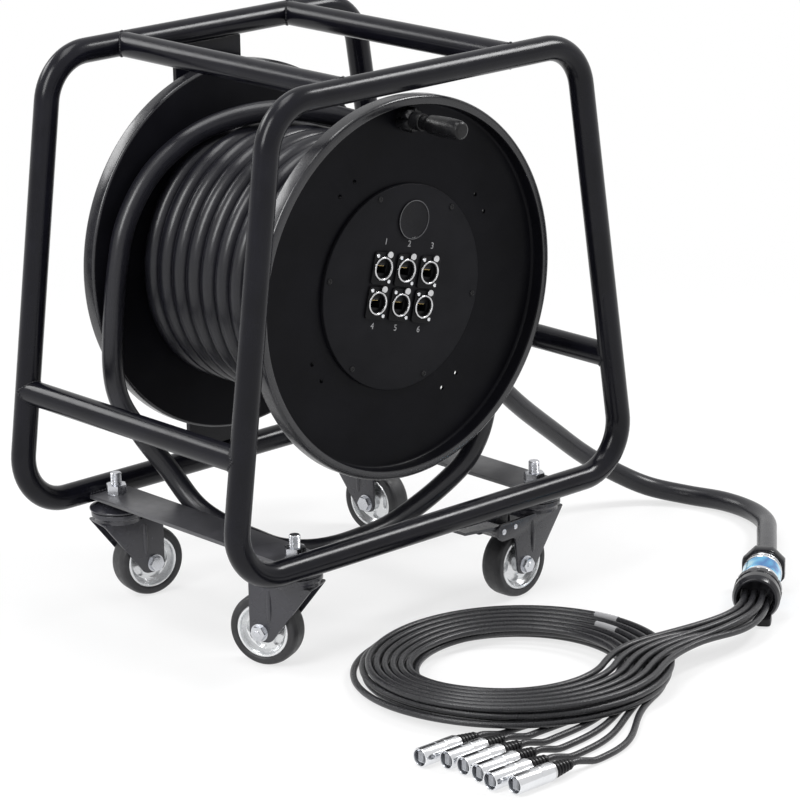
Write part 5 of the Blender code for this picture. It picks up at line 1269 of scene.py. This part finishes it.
QUARTER_TURN = Matrix.Rotation(math.pi / 2, 4, "Y")          # lays a shape built along Z along X
REAR_END, SLEEVE_END = 0.017, 0.0733
REAR_FLATS = 0.043
SHELL_LOW, NUT_LOW = REAR_END + 0.0003, SLEEVE_END + 0.0003
# The sleeve's rings beside its rear end, as (radius, distance from that end)
SHELL_RINGS = [(0.0, 0), (0.0185, 0), (0.0195, 0.001), (0.0195, 0.004), (0.0186, 0.0048),
               (0.0186, 0.007), (0.02, 0.0078), (0.02, 0.013), (0.0194, 0.0136)]
BAND_LOW, BAND_HIGH = SHELL_LOW + 0.014, SLEEVE_END - 0.014
GROOVES, GROOVE, GROOVE_CIRCLE = 12, 0.0022, 0.0252
CLIP, CLIP_CORNER, CLIP_LOW, CLIP_HIGH = (0.019, 0.015), 0.0045, -0.0236, -0.0155
CLIP_AHEAD, CLIP_ASIDE = 0.003, 0.0085

CONNECTOR_SHELL = [(0.0077, 0.0002), (0.0081, 0.0), (0.0086, 0.0), (0.0092, 0.0006), (0.0092, 0.027),
                   (0.0088, 0.0276), (0.0088, 0.029), (0.0092, 0.0296), (0.0092, 0.0432),
                   (0.0086, 0.044), (0.0, 0.044), (0.0, 0.012), (0.0077, 0.012)]
PLUG_TIP, PLUG_TIP_LOW, PLUG_TIP_HIGH = (0.0104, 0.0082), 0.0022, 0.0125
BOOT_RINGS, BOOT_PITCH, BOOT_TAPER = 5, 0.0042, 0.00055
BOOT_LOW, BOOT_RADIUS, BOOT_GROOVE = 0.0476, 0.0076, 0.001


def coupling_matrix(along, across=0.0):
    return Matrix.Translation(coupling_point(along, across)) @ Matrix.Rotation(HEADING, 4, "Z")


def add_rear_nut(place):
    octagon = round_points(REAR_FLATS / 2 / math.cos(math.pi / 8), 8, 0.5)
    body = prism(octagon, 0.004, REAR_END, bevel=0.0006)
    cone = lathe([(0, -1), (0.0232, -1), (0.0232, 0.015), (0.0222, REAR_END), (0, REAR_END)], 64)
    body = carve(body, [cone], "INTERSECT")
    collar = [(0.0106, 0.0001), (0.016, 0.0001), (0.0205, 0.0042), (0.0106, 0.0042)]
    body = join(body, turned(collar, [0.0005, 0.0012, 0.0005, 0], 4, 64))
    body.transform(place)
    piece("rear_gland_nut", body, GLOSS, "frame", ["coupling_rear_nut"])


def add_shell(place):
    shell = lift(SHELL_RINGS, SHELL_LOW)
    shell += [(radius, SLEEVE_END - z) for radius, z in reversed(SHELL_RINGS)]
    radii = [0] + [0.0004] * (len(shell) - 2) + [0]
    body = turned(shell, radii, 2, 80, place)
    piece("coupling_shell", body, CHROME, "frame", ["coupling_sleeve"])
    band = [(0.0194, BAND_LOW), (0.01975, BAND_LOW + 0.0002), (0.01975, BAND_HIGH - 0.0002),
            (0.0194, BAND_HIGH)]
    piece("coupling_band", lathe(band, 80, place), BLUE, "frame")


def add_front_nut(place):
    profile = lift([(0, 0), (0.021, 0), (0.024, 0.003), (0.024, 0.012), (0.0228, 0.0135),
                    (0.0236, 0.016)], NUT_LOW)
    profile += lift([(0.024, -0.007), (0.0215, 0), (0.019, 0), (0.0166, -MOUTH_DEPTH),
                     (0, -MOUTH_DEPTH)], COUPLING)
    radii = [0, 0.001, 0.0015, 0.0008, 0.0008, 0.001, 0.003, 0.0015, 0.0008, 0.0006, 0]
    body = turned(profile, radii, 4, 96)
    low, high = NUT_LOW + 0.0008, NUT_LOW + 0.0118
    grooves = [cylinder(GROOVE, low, high, 12, at(x, y)) for x, y in round_points(GROOVE_CIRCLE, GROOVES)]
    body = carve(body, grooves)
    body.transform(place)
    piece("front_gland_nut", body, SLATE, "frame", ["coupling_front_nut"])


def add_coupling():
    place = coupling_matrix(0.0) @ QUARTER_TURN
    add_rear_nut(place)
    add_shell(place)
    add_front_nut(place)
    clip = prism(fillet(rect(*CLIP), [CLIP_CORNER] * 4, 5), CLIP_LOW, CLIP_HIGH, bevel=0.0018)
    clip.transform(coupling_matrix(COUPLING + CLIP_AHEAD, CLIP_ASIDE))
    piece("coupling_clip", clip, MOULDED, "frame")


def boot_profile():
    """The plug's boot: a collar, five rings that get smaller, and the end round the cable."""
    profile = [(0.0, 0.0438), (0.0078, 0.0438), (0.0078, 0.047)]
    for k in range(BOOT_RINGS):
        radius = BOOT_RADIUS - k * BOOT_TAPER
        slim = radius - BOOT_GROOVE
        steps = [(slim, 0), (slim, 0.0012), (radius, 0.0016), (radius, 0.0036)]
        profile += lift(steps, BOOT_LOW + k * BOOT_PITCH)
    return profile + [(0.0042, 0.07), (0.004, 0.0709), (0.0, 0.0709)]


def add_plugs():
    for number, (x, y) in enumerate(PLUG_FRONTS, 1):
        place = BASE @ at(x, y, PLUG_Z) @ QUARTER_TURN
        body = turned(CONNECTOR_SHELL, [0.0001] + [0.0003] * 9 + [0, 0, 0], 2, 56)
        key = at(-0.0094) @ Matrix.Rotation(math.pi / 2, 4, "Z")
        body = carve(body, [prism(rect(0.005, 0.0016), -0.001, 0.02, key)])
        body.transform(place)
        piece(f"plug_shell_{number}", body, CHROME, "frame", [f"data_plug_{number}"])
        tip = fillet(rect(*PLUG_TIP), [0.0006] * 4, 3)
        tip = prism(tip, PLUG_TIP_LOW, PLUG_TIP_HIGH, bevel=0.0002)
        slots = [rect(0.0006, 0.003, (k - 3.5) * CONTACT_PITCH, -0.0034) for k in range(8)]
        tip = carve(tip, [prism(slot, 0.0018, 0.005) for slot in slots])
        tip.transform(place)
        piece(f"plug_insert_{number}", tip, INSERT, "frame")
        boot = boot_profile()
        body = turned(boot, [0.0002] * len(boot), 2, 40, place)
        piece(f"plug_boot_{number}", body, MOULDED, "frame")
        collar = ring(0.007, 0.0083, 0.0441, 0.0462, 40, place)
        piece(f"plug_collar_{number}", collar, SATIN, "frame")


# The sleeves on the data cables: the strand's index, and a spot near its place
LABELS = [(0, (0.078, -0.179, 0.018)), (1, (0.108, -0.243, 0.018)), (2, (0.108, -0.296, 0.025)),
          (0, (0.1035, -0.278, 0.025))]
LABEL_REACH, LABEL_THICK = 3, 0.0004


def add_labels():
    """Clear identification sleeves on four stretches of the data cables."""
    for number, (strand, spot) in enumerate(LABELS, 1):
        path = strands[strand][1]
        near = min(range(8, len(path) - 8), key=lambda k: (path[k] - Vector(spot)).length)
        stretch = path[near - LABEL_REACH:near + LABEL_REACH + 1]
        sleeve = sweep(stretch, STRAND + LABEL_THICK, 16)
        piece(f"label_sleeve_{number}", sleeve, CLEAR, "frame")


add_coupling()
add_plugs()
add_labels()
